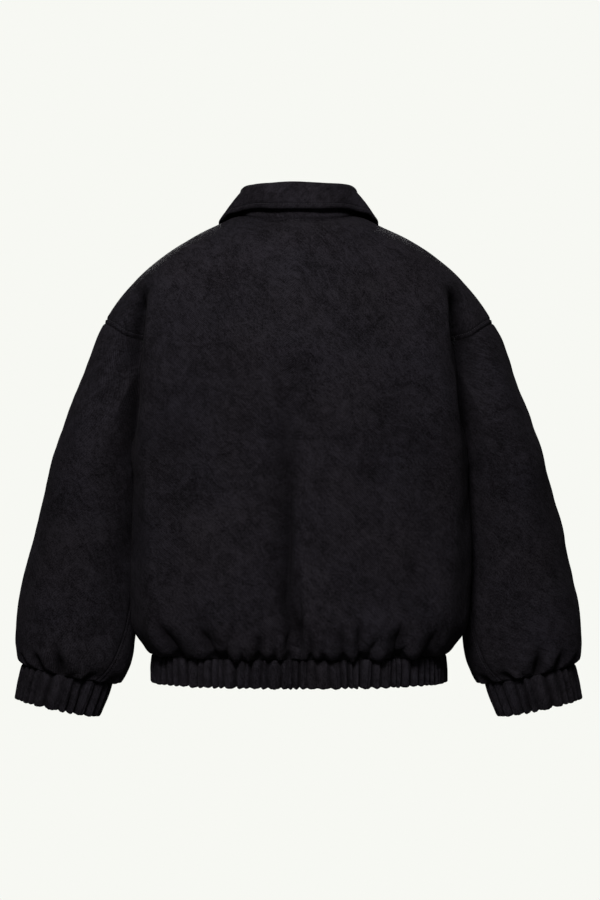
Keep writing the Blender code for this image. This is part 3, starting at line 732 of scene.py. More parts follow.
def side_way(row, side):
    """Way out at the end of each row, shared by what is sewn together there."""

    def surface(first, second):
        return body_point(first, second, side)

    within = np.clip(np.abs(row), ARMPIT_ROW, HEM_ROW - 2 * SLOPE_STEP)
    ends = np.ones_like(row)
    seam = unit(outward(surface, ends, within) + outward(surface, ends, -within))
    armhole = armhole_way(np.clip(row / ARMPIT_ROW, -1, 1))
    from_armpit = smooth_step((np.abs(row) - ARMPIT_ROW) / 0.6)[:, None]
    return unit(armhole * (1 - from_armpit) + seam * from_armpit)


def band_way(points):
    """Level way out from the hem's outline, along the normal of an oval of its size."""
    x, y = points[..., 0], points[..., 1]
    return unit(np.stack([x / HEM_HALF_WIDTH**2, y / HEM_HALF_DEPTH**2, np.zeros_like(x)], -1))


def valley_share(points):
    """How much of the valley beside the body's edge each point has, where the arm hangs down."""
    x, y, z = (points / MM).transpose(2, 0, 1)
    from_lip = x - np.interp(-z, LIP_HEIGHTS, LIP_PLACES)
    past = np.maximum(from_lip - 4, 0)
    wall = (0.4 * bell(past, 0, 10) + 0.6 * bell(past, 0, 24)) * smooth_step(from_lip / 6)
    return wall * between(z, *VALLEY_SPAN)


def drawn_in(points):
    """Body and sleeve drawn in along that valley, forward on the back and backward on the front."""
    y = points[..., 1] / MM
    back = VALLEY_BACK * smooth_step(y / VALLEY_BACK_FROM)
    front = VALLEY_FRONT * smooth_step(-y / VALLEY_FRONT_FROM)
    moved = points.copy()
    moved[..., 1] -= valley_share(points) * (back - front)
    return moved


def painted_valley_shade(points):
    """Painted shade in the valley beside the body's edge, only on the back."""
    return VALLEY_PAINTED_SHADE * valley_share(points) * smooth_step(points[..., 1] / (70 * MM))


def stands_out(points, share):
    """How far back the hem seam stands beyond its level outline, most in the middle."""
    return HEM_STANDS_OUT * smooth_step(points[..., 1] / (90 * MM)) * share


def above_gathers(first, second, pleats, raised, to_band):
    """Depth of the folds above a gathered seam, and the puffs between them, from 0 to 1.2."""
    folds = fold_depth(first, second, pleats, 0.5) * MM
    folds = folds * (1 - np.exp(-to_band / (2.5 * MM)) * 0.9)
    puffs = np.clip(raised + 0.2, 0, 1.2) * np.clip(1 - folds / (5 * MM), 0, 1)
    return folds, puffs


def soft_waves(points, seed, height, edge):
    """Long and short waves of the padding, which fade out at the panel's edges."""
    long_waves = unevenness(points, seed, LONG_WAVE, height) * smooth_step(edge / LONG_FADE)
    short_waves = unevenness(points, seed + 1, SHORT_WAVE, SHORT_HEIGHT)
    return long_waves + short_waves * smooth_step(edge / SHORT_FADE)


def padding_at(edge, to_band):
    """Thickness of a padded panel: flat at its seams, a little thicker where it is gathered."""
    thick = PADDING * (0.2 + 0.8 * smooth_step(edge / PADDING_REACH))
    return np.maximum(thick, 2.6 * MM * np.exp(-to_band / (10 * MM)))


def panel_normals(base, across, row, side, from_top, to_side, to_hem):
    """Directions off the cloth, turned at each seam to the one that the next piece has there."""
    rough_way = (base - np.array(JACKET_MIDDLE)) * np.array([1, 1, 0.4])
    normal = grid_normals(base, rough_way)
    top_way = outward(body_base, across[0], np.zeros(across.shape[1]))
    top_way[:NECK_COLUMNS] = (0, 0, 1)
    seams = (
        (top_way[None], from_top),
        (band_way(base[-1])[None], to_hem),
        (side_way(row[:, -1], side)[:, None], to_side),
    )
    for way, distance in seams:
        normal = lean_to(normal, way, smooth_step(1 - distance / SEAM_LEAN))
    return normal


def fuller_places(across, row, z, to_hem):
    """Height of the body over its plain curves, at the armpit and down each side."""
    armpit = ARMPIT_RISE * bell_over((across, z), ARMPIT_PLACE, ARMPIT_WIDTHS)
    held = smooth_step((np.abs(row) - 4) / 2) * smooth_step(to_hem / (60 * MM))
    place, width, height = SIDE_CORNER
    return armpit + height * held * bell(across, place, width)


def lip_beside_arm(points):
    """Height of the rounded lip of the back's edge, where it folds in beside the arm."""
    x, z = points[..., 0] / MM, points[..., 2] / MM
    from_lip = x - np.interp(-z, LIP_HEIGHTS, LIP_PLACES)
    return LIP_RISE * between(z, *LIP_SPAN) * bell(from_lip, -3, 5)


def folded_front(thick, from_centre):
    """A front's edge at the zip, folded back round: how far its face drops, its thickness."""
    bend = 1 - np.clip(from_centre / (2 * MM), 0, 1)
    folded = 0.5 + 0.5 * np.sqrt(np.clip(1 - bend**2, 0.001, 1))
    thick = np.minimum(thick, 3 * MM + 5 * MM * smooth_step(from_centre / (20 * MM)))
    return thick * (1 - folded), thick * (2 * folded - 1)


def sewn_in(outer, inner, row, front, to_hem):
    """Both faces as the seams hold them: out at the hem, up beside the neck, in by the arm."""
    near_hem = smooth_step(1 - to_hem / STAND_REACH)
    x, y = outer[..., 0] / MM, outer[..., 1] / MM
    y = y + stands_out(outer, near_hem) / MM
    neck_lift = NECK_RISE * bell_over((x, y), NECK_SIDE, NECK_WIDTHS)
    gap = (-1 if front else 1) * SEAM_GAP / 2
    on_armhole = np.abs(row[:, -1]) <= ARMPIT_ROW
    layers = []
    for layer, is_inner in ((outer, 0), (inner, 1)):
        layer[..., 1] += stands_out(layer, near_hem)
        layer[..., 2] += neck_lift
        layer = drawn_in(layer)
        layer[-1, :, 2] -= HEM_LAP * is_inner
        layer[0, NECK_COLUMNS:, 1] += gap - SHOULDER_LAP * is_inner
        layer[~on_armhole, -1, 1] += gap
        layer[on_armhole, -1] -= ARMHOLE_OUTWARD * SEAM_GAP / 2
        layers.append(layer)
    return layers


def half_panel(front, side, pleats):
    """One half of the back or one front: its outer and inner points, its cut in metres, its
    painted shade in folds, seams and the trough, and its distances from its seams.
    """
    across, row = panel_places(front)
    base = body_point(across, row, side)
    from_centre = run_lengths(base, 1)
    from_top = run_lengths(base, 0)
    to_side = from_centre[:, -1:] - from_centre
    to_hem = from_top[-1:] - from_top
    edge = np.minimum(np.minimum(to_side, from_top), to_hem)
    normal = panel_normals(base, across, row, side, from_top, to_side, to_hem)
    x, z = side * base[..., 0] / MM, base[..., 2] / MM
    mirrored = base * np.array([side, 1, 1])
    raised = gathered(along_hem(mirrored), hem_puffs)
    folds, puffs = above_gathers(x, z, pleats, raised, to_hem)
    height = puffs * PUFF_HEIGHT * hill(to_hem, PUFF_PEAK) - folds
    height += fuller_places(across, row, z, to_hem) + soft_waves(mirrored, 5, 0.8 * MM, edge)
    height += seam_dip(to_side, armhole_dip(row / ARMPIT_ROW))
    height += seam_dip(from_top, SHOULDER_DIP, 1.8 * MM) + seam_dip(to_hem, GATHERED_DIP)
    height += stitch_dip(to_side, SIDE_STITCH, 1.5 * MM) + stitch_dip(from_top, TOP_STITCH, 1.6 * MM)
    # Painted shade: darker in the pleats, along the seams and along their topstitches.
    painted_shade = folds / DARK_FOLD + 0.7 * bell(from_top, 0, 1.6 * MM) + 0.6 * bell(to_hem, 0, 2 * MM)
    painted_shade += 0.6 * bell(to_side, 0, 2 * MM) + 0.5 * bell(to_side, SIDE_STITCH, 1.3 * MM)
    painted_shade += 0.5 * bell(from_top, TOP_STITCH, 1.1 * MM)
    thick = padding_at(edge, to_hem)
    if front:
        dropped, thick = folded_front(thick, from_centre)
        height += stitch_dip(from_centre, FRONT_STITCH) - dropped
    else:
        trough = trough_depth(x, z) * MM * smooth_step(to_hem / (24 * MM))
        height += lip_beside_arm(base) - trough
        # Painted shade in the trough as well.
        painted_shade += np.maximum(trough, 0) / DARK_TROUGH
    outer = base + normal * height[..., None]
    inner = outer - normal * np.maximum(thick - 0.5 * folds, THINNEST)[..., None]
    outer[..., 2] -= puffs * PUFF_SAG * hill(to_hem, SAG_PEAK)
    # Painted shade in the valley beside the arm.
    painted_shade += painted_valley_shade(outer)
    outer, inner = sewn_in(outer, inner, row, front, to_hem)
    outer, inner = settle(outer, side), settle(inner, side)
    lines = {"outer": outer, "inner": inner, "to_side": to_side, "from_top": from_top}
    lines["from_centre"] = from_centre
    cut = np.stack([side * from_centre, to_hem], -1)
    return outer, inner, cut, painted_shade, lines


def make_back():
    left = half_panel(False, 1, BACK_PLEATS)
    right = half_panel(False, -1, BACK_PLEATS)
    both = [np.concatenate([part[:, :0:-1], other], 1) for part, other in zip(right[:4], left[:4])]
    piece = cloth_wall("back_panel", *both)
    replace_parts(piece, "back")
    return left[4], right[4]


back_lines = make_back()

# The fronts. Two plain padded panels that meet at the zip, each folded back and topstitched
# along it. The photograph doesn't show them, so they have no pockets.
FRONT_PLEATS = [
    (182, -552, 150, -584, 4.6, 9, 1),
    (128, -546, 118, -584, 5.0, 8, -1),
    (92, -560, 84, -584, 3.8, 5, 0),
    (58, -548, 52, -582, 4.4, 7, 1),
    (30, -566, 33, -584, 3.0, 5, -1),
    (-26, -560, -22, -584, 3.4, 5, 1),
    (-50, -566, -47, -584, 3.0, 5, 0),
    (-76, -546, -70, -584, 5.0, 8, -1),
    (-112, -556, -100, -584, 4.2, 6, 1),
    (-146, -548, -130, -582, 4.6, 9, -1),
    (-180, -558, -160, -584, 4.4, 8, 0),
]
front_lines = {}
for front_name, front_side in (("front_left", 1), ("front_right", -1)):
    *front_grids, front_lines[front_side] = half_panel(True, front_side, FRONT_PLEATS)
    front_piece = cloth_wall(front_name + "_panel", *front_grids)
    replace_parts(front_piece, front_name)

# The sleeves. One padded panel each, sewn into a tube along a seam under the arm that drifts to
# the back near the cuff. Each is set into the dropped armhole and gathered into its cuff.
SLEEVE_RINGS = np.array(
    [
        (236, -2, -218, 83, 76, 72),
        (257, -6, -256, 59, 81, 55),
        (268, -16, -300, 56, 86, 33),
        (275.4, -30, -345, 61.4, 88, 16),
        (288.0, -42, -424, 70.0, 86, 12),
        (296.2, -46, -491.5, 78.6, 80, 12),
        (303.3, -46, -551, 82, 76, 12),
        (309.2, -44, -593, 77.8, 70.5, 12),
        (314.4, -42, -614.5, 63, 55, 12.1),
    ],
    float,
)
LAST_RING = len(SLEEVE_RINGS) - 1
ARMHOLE_FADE_RING = 3.2
# Where the seam under the arm runs, as a turn from the outside through the back, ring by ring
SEAM_TURNS = np.array([1, 1, 0.99, 0.96, 0.92, 0.87, 0.81, 0.75, 0.705])[:, None]
# Folds held by the cuff: start turn and ring, end turn and ring, depth, half width in both,
# and the side of the sharper ridge. Turns are stretched so that both count alike
CUFF_PLEATS = [
    (0.29, 6.75, 0.33, 8.1, 10.0, 0.26, 1),
    (0.42, 6.20, 0.47, 8.1, 11.5, 0.28, 1),
    (0.686, 7.3, 0.62, 8.1, 9.0, 0.22, -1),
    (0.56, 7.3, 0.555, 8.1, 6.0, 0.16, 0),
    (0.15, 7.1, 0.19, 8.1, 8.0, 0.22, 0),
    (0.02, 6.9, 0.05, 8.1, 8.5, 0.24, 1),
    (-0.12, 7.3, -0.10, 8.1, 7.0, 0.20, 0),
    (-0.26, 6.7, -0.24, 8.1, 10.0, 0.26, -1),
    (-0.42, 7.2, -0.40, 8.1, 7.5, 0.22, 0),
    (-0.58, 6.6, -0.55, 8.1, 10.5, 0.26, 1),
    (-0.74, 7.2, -0.72, 8.1, 7.5, 0.22, 0),
    (-0.90, 6.9, -0.89, 8.1, 9.0, 0.24, -1),
    (0.86, 7.2, 0.84, 8.1, 7.5, 0.22, 0),
]
TURN_STRETCH = 6.0
STRETCHED_PLEATS = [
    (start * TURN_STRETCH, start_ring, end * TURN_STRETCH, end_ring, *shape)
    for start, start_ring, end, end_ring, *shape in CUFF_PLEATS
]


def sleeve_ring(turn, ring):
    """Plain tube of the sleeve: turn 0 outside, 1 or -1 inside through the back or the front."""
    values = read_rows(SLEEVE_RINGS, ring)
    centre = values[..., :3] * MM
    half_width, half_depth = values[..., 3:4] * MM, values[..., 4:5] * MM
    tilt = np.radians(values[..., 5])
    aside = np.stack([np.cos(tilt), np.zeros_like(tilt), np.sin(tilt)], -1)
    angle = (turn * math.pi)[..., None]
    back = np.array([0, 1.0, 0])
    return centre + half_width * np.cos(angle) * aside + half_depth * np.sin(angle) * back


def sleeve_point(turn, ring, side):
    """Outer cloth of the sleeve, which starts on the body's armhole edge and fades to the rings."""
    turn, ring = np.broadcast_arrays(np.asarray(turn, float), np.asarray(ring, float))
    held = np.mod(turn + 1, 2) - 1
    start = body_point(np.ones_like(held), held * ARMPIT_ROW, side)
    reach = np.clip(ring / ARMHOLE_FADE_RING, 0, 1)[..., None]
    fade = (1 - reach) ** 2 * (1 + 2 * reach)
    return sleeve_ring(turn, ring) + (start - sleeve_ring(turn, np.zeros_like(ring))) * fade


CUFF_PUFF_HEIGHT, CUFF_PUFF_SAG = 2.4 * MM, 2.2 * MM
# The sleeve is fuller under the arm: on which ring, how wide in turns and rings, how high
UNDERARM_PLACE, UNDERARM_WIDTHS, UNDERARM_RISE = (1, 2.1), (0.16, 0.9), 3.5 * MM
cuff_length = 0.36
cuff_gathers = make_gathers(cuff_length, 14.5 * MM, 23)
cuff_puffs = make_gathers(cuff_length, 25 * MM, 24)


def make_sleeve(name, side, seed):
    """One sleeve, as a grid from its seam round to its seam and from the armhole to the cuff."""
    part = close_up(200, 0.3)[None, :]
    ring = LAST_RING * close_up(150, 0.5)[:, None]
    turn = read_rows(SEAM_TURNS, ring[:, 0]) - 2 * part
    ring = ring + 0 * part
    base = sleeve_point(turn, ring, side)
    centre = base[:, :-1].mean(1, keepdims=True)
    normal = grid_normals(base, base - centre)
    normal[:, 0] = normal[:, -1] = unit(normal[:, 0] + normal[:, -1])
    from_seam = run_lengths(base, 1)
    to_seam = from_seam[:, -1:] - from_seam
    from_top = run_lengths(base, 0)
    to_cuff = from_top[-1:] - from_top
    seam = np.minimum(from_seam, to_seam)
    edge = np.minimum(np.minimum(seam, from_top), to_cuff)
    cuff_way = unit(base[-1] - centre[-1])[None]
    normal = lean_to(normal, armhole_way(turn[0])[None], smooth_step(1 - from_top / SEAM_LEAN))
    normal = lean_to(normal, cuff_way, smooth_step(1 - to_cuff / SEAM_LEAN))
    held = np.mod(turn + 1, 2) - 1
    raised = gathered(np.mod(turn / 2, 1) * cuff_length, cuff_puffs)
    folds, puffs = above_gathers(held * TURN_STRETCH, ring, STRETCHED_PLEATS, raised, to_cuff)
    height = puffs * CUFF_PUFF_HEIGHT * hill(to_cuff, PUFF_PEAK) - folds
    sag = puffs * CUFF_PUFF_SAG * hill(to_cuff, SAG_PEAK)
    height += soft_waves(base, seed, 0.9 * MM, edge)
    height += UNDERARM_RISE * bell_over((np.abs(held), ring), UNDERARM_PLACE, UNDERARM_WIDTHS)
    height += seam_dip(from_top, armhole_dip(held)) + seam_dip(seam, 1.2 * MM, 2.0 * MM)
    height += seam_dip(to_cuff, GATHERED_DIP)
    height += stitch_dip(to_seam, SIDE_STITCH)
    outer = base + normal * height[..., None]
    thick = padding_at(edge, to_cuff)
    inner = outer - normal * np.maximum(thick - 0.5 * folds, THINNEST)[..., None]
    outer[..., 2] -= sag
    # Painted shade: darker in the cuff's pleats, in the valley, along the seams and the topstitches.
    painted_shade = folds / DARK_FOLD + painted_valley_shade(outer)
    painted_shade += 0.5 * bell(seam, 0, 1.8 * MM) + 0.4 * bell(to_seam, SIDE_STITCH, 1.2 * MM)
    painted_shade += 0.6 * bell(from_top, 0, 2 * MM) + 0.6 * bell(to_cuff, 0, 2 * MM)
    outer, inner = drawn_in(outer), drawn_in(inner)
    for layer in (outer, inner):
        layer[0] += ARMHOLE_OUTWARD * SEAM_GAP / 2
    outer, inner = settle(outer, side), settle(inner, side)
    cut = np.stack([side * from_seam, to_cuff], -1)
    piece = cloth_wall(name + "_panel", outer, inner, cut, painted_shade)
    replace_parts(piece, name)
    return {"outer": outer, "inner": inner, "to_seam": to_seam}


sleeve_lines = {
    1: make_sleeve("sleeve_left", 1, 31),
    -1: make_sleeve("sleeve_right", -1, 41),
}

# The collar. A shirt collar of two layers of twill: a stand sewn to the neckline and a fall
# folded out over it, with rounded edges that are topstitched 6 mm in.
COLLAR_THICKNESS = 4 * MM
# Stations from the centre back to the centre front: top of the stand x y z, then where the
# fall's edge lies over the body: across, row, and height above the cloth
COLLAR_STATIONS = np.array(
    [
        (0, 67, 40, 0.00, 1.77, 12.5),
        (32, 61, 40, 0.115, 1.60, 14),
        (59, 38, 39.5, 0.238, 0.85, 10.5),
        (73, 0, 37.5, 0.337, 0.30, 4.5),
        (67, -46, 21, 0.347, -1.00, 4.5),
        (43, -84, -13, 0.30, -2.20, 4.5),
        (13, -101, -44, 0.205, -3.35, 5),
    ],
    float,
)
LAST_STATION = len(COLLAR_STATIONS) - 1
FOLD_RADIUS, FOOT_DROP, FALL_DROP, FALL_BOW = 5 * MM, 5 * MM, 3 * MM, 1.5 * MM
# The fall lifts off the shoulder: how far in millimetres, by which station, over how many
FALL_LIFT, LIFT_PLACE, LIFT_REACH = 4.0, 2.62, 0.3
COLLAR_STITCH = 6.2 * MM
# The stand rolls out just over the neck seam: how far, and how high above its foot
STAND_ROLL, ROLL_PLACE = 3 * MM, 7 * MM
COLLAR_EDGE_ROWS = 13


def collar_ribs(count):
    """Sections of the collar's left half, each a line of 14 points from its foot to its edge."""
    part = np.linspace(0, 1, count)
    turn = np.clip(part * 2, 0, 1) * math.pi / 2
    front_turn = np.clip(part * 2 - 1, 0, 1) * math.pi / 2
    is_back = part <= 0.5
    across = NECK_ACROSS * np.where(is_back, np.sin(turn), np.cos(front_turn))
    row = np.where(is_back, BACK_NECK_ROW * np.cos(turn), FRONT_NECK_ROW * np.sin(front_turn))
    seam = body_base(across, row)
    away = unit(np.cross(np.gradient(seam, axis=0), np.array([0, 0, -1.0])))
    away[0], away[-1] = (0, 1, 0), away[-2]
    stations = read_rows(COLLAR_STATIONS, part * LAST_STATION)
    foot = seam - away * (COLLAR_THICKNESS / 2 + SEAM_GAP) - np.array([0, 0, FOOT_DROP])
    top = stations[:, :3] * MM - away * FOLD_RADIUS
    lies_on = stations[:, 3:5].T
    above = stations[:, 5] + FALL_LIFT * bell(part * LAST_STATION, LIFT_PLACE, LIFT_REACH)
    edge = body_base(*lies_on) + outward(body_base, *lies_on) * above[:, None] * MM
    shoulder = top + 2 * FOLD_RADIUS * away - np.array([0, 0, FALL_DROP])
    lines = [foot + (top - foot) * step for step in np.linspace(0, 1, 5)]
    for angle in (45, 90, 135):
        turned = math.radians(angle)
        reach = (shoulder - top) / 2
        rise = np.array([0, 0, FOLD_RADIUS])
        lines.append((top + shoulder) / 2 - reach * math.cos(turned) + rise * math.sin(turned))
    for step in np.linspace(0, 1, 6):
        bow = away * math.sin(step * math.pi) * FALL_BOW
        lines.append(shoulder + (edge - shoulder) * step + bow)
    ribs = np.array(lines)
    ribs[:, 0, 0] = 0
    return ribs


def make_collar():
    """The collar's wall round the middle of its two layers, with rounded edges."""
    ribs = collar_ribs(81)
    middle_ribs = np.concatenate([ribs[:, :0:-1] * np.array([-1, 1, 1]), ribs], 1)
    count = middle_ribs.shape[1]
    rib_length = np.linspace(-1, 1, count)
    ends = np.array([0.0, 0.0006, 0.0018, 0.004, 0.008, 0.013])
    places = np.concatenate([-1 + ends, np.linspace(-0.98, 0.98, 190), 1 - ends[::-1]])
    across = np.interp(places, rib_length, np.arange(count))
    table = middle_ribs.transpose(1, 0, 2).reshape(count, -1)
    middle = read_rows(table, across).reshape(len(places), -1, 3).transpose(1, 0, 2)
    tail = COLLAR_EDGE_ROWS - np.array([0.15, 0.08, 0.035, 0.01, 0.0])
    down = np.concatenate([[0, 0.03, 0.1], np.linspace(0.3, 12.75, 62), tail])
    middle = read_rows(middle.reshape(len(middle), -1), down).reshape(len(down), len(places), 3)
    normal = unit(np.cross(np.gradient(middle, axis=1), np.gradient(middle, axis=0)))
    from_foot = run_lengths(middle, 0)
    to_edge = from_foot[-1:] - from_foot
    along = run_lengths(middle, 1)
    to_front = np.minimum(along, along[:, -1:] - along)
    rounded = np.minimum(np.minimum(to_edge, to_front), from_foot)
    reach = COLLAR_THICKNESS / 2
    inside = 1 - np.clip(rounded / reach, 0, 1)
    half = reach * np.sqrt(np.clip(1 - inside**2, 0.004, 1))
    edge = np.minimum(to_edge, np.where(down[:, None] > 8, to_front, 1.0))
    half = half + 0.35 * MM * bell(edge, 3.0 * MM, 1.8 * MM)
    dip = stitch_dip(edge, COLLAR_STITCH, 0.8 * MM, 1.2 * MM)
    soft = unevenness(middle, 51, 60 * MM, 0.35 * MM) * smooth_step(rounded / (10 * MM))
    outer = middle + normal * (half + dip + soft)[..., None]
    spread = np.where(from_foot < ROLL_PLACE, 1.4 * MM, 4 * MM)
    roll = STAND_ROLL * bell(from_foot, ROLL_PLACE, spread) * (down[:, None] < 4)
    inner = middle - normal * (half + dip - soft + roll)[..., None]
    cut = np.stack([along - along[:, -1:] / 2, from_foot], -1)
    # Painted shade along the topstitched channel.
    painted_shade = 0.5 * bell(edge, COLLAR_STITCH, 1.2 * MM)
    piece = cloth_wall("collar_cloth", outer, inner, cut, painted_shade, cloths=(twill, twill))
    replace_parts(piece, "collar")
    return {"outer": outer, "inner": inner, "to_edge": to_edge, "to_front": to_front}


collar_lines = make_collar()

# The hem band. A strip of twill folded over wide elastic, drawn into close uneven gathers, and
# sewn on all round. It ends at the zip on both sides.
BAND_TOP = -585.1 * MM
BAND_BOTTOM = -622 * MM
BAND_THICKNESS = 4.5 * MM
GATHER_HEIGHT = 4.1 * MM
GATHER_FULLNESS = 1.4
BAND_BULGE, BAND_EDGE, BAND_FRILL = 1.1 * MM, 2.2 * MM, 1.5 * MM
# Puckers on the gathers, wide and fine: how high beside a gather, and how long
WIDE_PUCKER, WIDE_PUCKER_LENGTH = 0.32, 2.1 * MM
FINE_PUCKER, FINE_PUCKER_LENGTH = 0.05, 0.95 * MM


def band_faces(gathers, place, fall, tall, ends):
    """Heights of a gathered band's outer and inner face, which meet in rounded folded edges,
    how far its folded edge waves down, its cut in metres and its painted shade.
    """
    lean = 1.6 * MM * np.sin(place / (31 * MM)) + 1.0 * MM * np.sin(place / (11.7 * MM) + 2)
    ridges = gathered(place + lean * (fall - 0.5), gathers)
    wander = 2.5 * np.sin(place / (19 * MM) + fall)
    ridges = ridges + WIDE_PUCKER * np.abs(np.sin(place / WIDE_PUCKER_LENGTH + wander))
    fine_wander = 3 * np.sin(fall * 3 + place / (17 * MM))
    small = FINE_PUCKER * np.sin(place / FINE_PUCKER_LENGTH + fine_wander)
    outer = GATHER_HEIGHT * (0.85 + 0.3 * fall**2) * (ridges + small)
    outer = outer + BAND_BULGE * np.sin(math.pi * fall) + seam_dip(fall * tall, 1.8 * MM, 2.0 * MM)
    inner = np.minimum(-(BAND_THICKNESS - 0.4 * MM), outer - 1.6 * MM)
    edge = np.minimum((1 - fall) * tall, ends)
    inside = 1 - np.clip(edge / BAND_EDGE, 0, 1)
    rounded = np.sqrt(np.clip(1 - inside**2, 0.004, 1))
    middle, half = (outer + inner) / 2, (outer - inner) / 2
    frill = -BAND_FRILL * ridges * np.exp(-(1 - fall) * tall / (5 * MM))
    cut = np.stack([place * GATHER_FULLNESS + 0 * fall, fall * tall + 0 * place], -1)
    # Painted shade: darker in the grooves between the gathers and at the seam.
    painted_shade = 0.55 - ridges + 0.8 * bell(fall * tall, 0, 2.2 * MM)
    return middle + half * rounded, middle - half * rounded, frill, cut, painted_shade


def band_rows():
    """Shares of a band's height, closer together at its seam and at its folded edge."""
    seam_rows, edge_rows = [0, 0.012, 0.03, 0.06], [0.95, 0.975, 0.99, 1]
    return np.concatenate([seam_rows, np.linspace(0.1, 0.92, 12), edge_rows])


def make_hem_band():
    columns = 1400
    line, length = hem_line(columns)
    fall = band_rows()[:, None]
    place = np.linspace(0, length, columns)[None, :]
    tall = BAND_TOP - BAND_BOTTOM
    ends = np.minimum(place, length - place) + 0 * fall
    outer, inner, frill, cut, painted_shade = band_faces(hem_gathers, place, fall, tall, ends)
    layers = []
    for height in (outer, inner):
        layer = line[None] + band_way(line)[None] * height[..., None]
        layer[..., 2] = BAND_TOP - fall * tall + frill
        layer[..., 1] += stands_out(layer, 1.0)
        layers.append(layer)
    piece = cloth_wall("hem_band_cloth", *layers, cut, painted_shade, cloths=(twill, twill))
    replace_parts(piece, "hem_band")


make_hem_band()

# The cuffs. Each is a strip of twill folded over elastic like the hem band, but closed in a ring
# and sewn to the gathered end of its sleeve, narrow enough to hold at the wrist.
CUFF_HALF_WIDTH = (60 * MM, 54.5 * MM)
CUFF_HALF_DEPTH = (52 * MM, 49 * MM)
CUFF_DROP = np.array([13.4, 0, -45.5]) * MM


def make_cuff(name, side):
    """One cuff, a gathered band on an oval that narrows from the sleeve's end."""
    values = SLEEVE_RINGS[-1]
    tilt = math.radians(values[5])
    aside = np.array([math.cos(tilt), 0, math.sin(tilt)])
    down_way = np.array([math.sin(tilt), 0, -math.cos(tilt)])
    top = values[:3] * MM + down_way * SEAM_GAP
    turn = SEAM_TURNS[-1, 0] - 2 * np.linspace(0, 1, 361)[None, :]
    fall = band_rows()[:, None]
    tall = float(np.linalg.norm(CUFF_DROP))
    angle = turn * math.pi
    place = np.mod(turn / 2, 1) * cuff_length
    ends = np.ones_like(fall * turn)
    outer, inner, frill, cut, painted_shade = band_faces(cuff_gathers, place, fall, tall, ends)
    layers = []
    for height in (outer, inner):
        width = CUFF_HALF_WIDTH[0] * (1 - fall) + CUFF_HALF_WIDTH[1] * fall + height
        depth = CUFF_HALF_DEPTH[0] * (1 - fall) + CUFF_HALF_DEPTH[1] * fall + height
        ring = top + CUFF_DROP * fall[..., None] + (width * np.cos(angle))[..., None] * aside
        ring = ring + (depth * np.sin(angle))[..., None] * np.array([0, 1.0, 0])
        layers.append(settle(ring - frill[..., None] * down_way, side))
    piece = cloth_wall(name + "_cloth", *layers, cut, painted_shade, cloths=(twill, twill))
    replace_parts(piece, name)


make_cuff("cuff_left", 1)
make_cuff("cuff_right", -1)

# The topstitching. Black thread in rows a few millimetres from the seams: round the armholes and
# down the sides, beside the neck and shoulder seams, along the sleeves, the collar and the zip.
STITCH_PITCH = 3.4 * MM
STITCH_SIZE = (2.7 * MM, 0.85 * MM, 0.6 * MM)


def grain_on(yarn, scale, detail=2, roughness=0.5):
    """Fine grain of a small hard piece, placed on the piece itself."""
    return noise(yarn, yarn.node("ShaderNodeTexCoord", {}, {}, 3), scale, detail, roughness)


thread, thread_shader, thread_yarn = new_material(
    "black_thread", {"Specular IOR Level": 0.3, "Roughness": 0.6}
)
thread_grain = grain_on(thread_yarn, 900)
thread_tone = blend(thread_yarn, thread_grain, (0.014, 0.012, 0.015, 1), (0.034, 0.031, 0.038, 1))
feed(thread_tone, thread_shader, "Base Color")


def line_at(layer, distance, level):
    """Where each row of a grid of points lies at one distance from its seam."""
    if distance[0, 0] > distance[0, -1]:
        layer, distance = layer[:, ::-1], distance[:, ::-1]
    found = []
    for points, lengths in zip(layer, distance):
        place = np.interp(level, lengths, np.arange(len(lengths)))
        index = min(int(place), len(lengths) - 2)
        found.append(points[index] + (points[index + 1] - points[index]) * (place - index))
    return np.array(found)


def placed(axes, point):
    """The transform that gives a form of size 1 these three axes and puts it at a point."""
    rows = [(*row, spot) for row, spot in zip(np.array(axes).T, point)]
    return Matrix(rows + [(0, 0, 0, 1)])


def sew(name, runs):
    """Rows of stitches, each run given as its line on the outer cloth and on the inner."""
    form = bmesh.new()
    for outer, inner in runs:
        length = run_lengths(outer, 0)
        places = np.arange(STITCH_PITCH, length[-1] - STITCH_PITCH / 2, STITCH_PITCH)
        ways = np.gradient(outer, axis=0)
        points, ways, offs = (
            np.stack([np.interp(places, length, line[:, i]) for i in range(3)], -1)
            for line in (outer, ways, unit(outer - inner))
        )
        ways = unit(ways)
        asides = unit(np.cross(offs, ways))
        offs = np.cross(ways, asides)
        for point, way, aside, off in zip(points, ways, asides, offs):
            axes = [axis * size for axis, size in zip((way, aside, off), STITCH_SIZE)]
            bmesh.ops.create_icosphere(form, subdivisions=1, radius=0.5, matrix=placed(axes, point))
    mesh = mesh_of(form, name)
    mesh.materials.append(thread)
    mesh.shade_smooth()
    add_piece(name, mesh)


def runs_of(lines, distance, level, turned=False, first=0, last=None):
    """A row of stitches along a panel's rows, or along its columns when turned."""
    layers = [lines["outer"], lines["inner"]]
    lengths = lines[distance]
    if turned:
        layers = [layer.transpose(1, 0, 2) for layer in layers]
        lengths = lengths.T
    return tuple(line_at(layer[first:last], lengths[first:last], level) for layer in layers)


all_panels = (*back_lines, *front_lines.values())
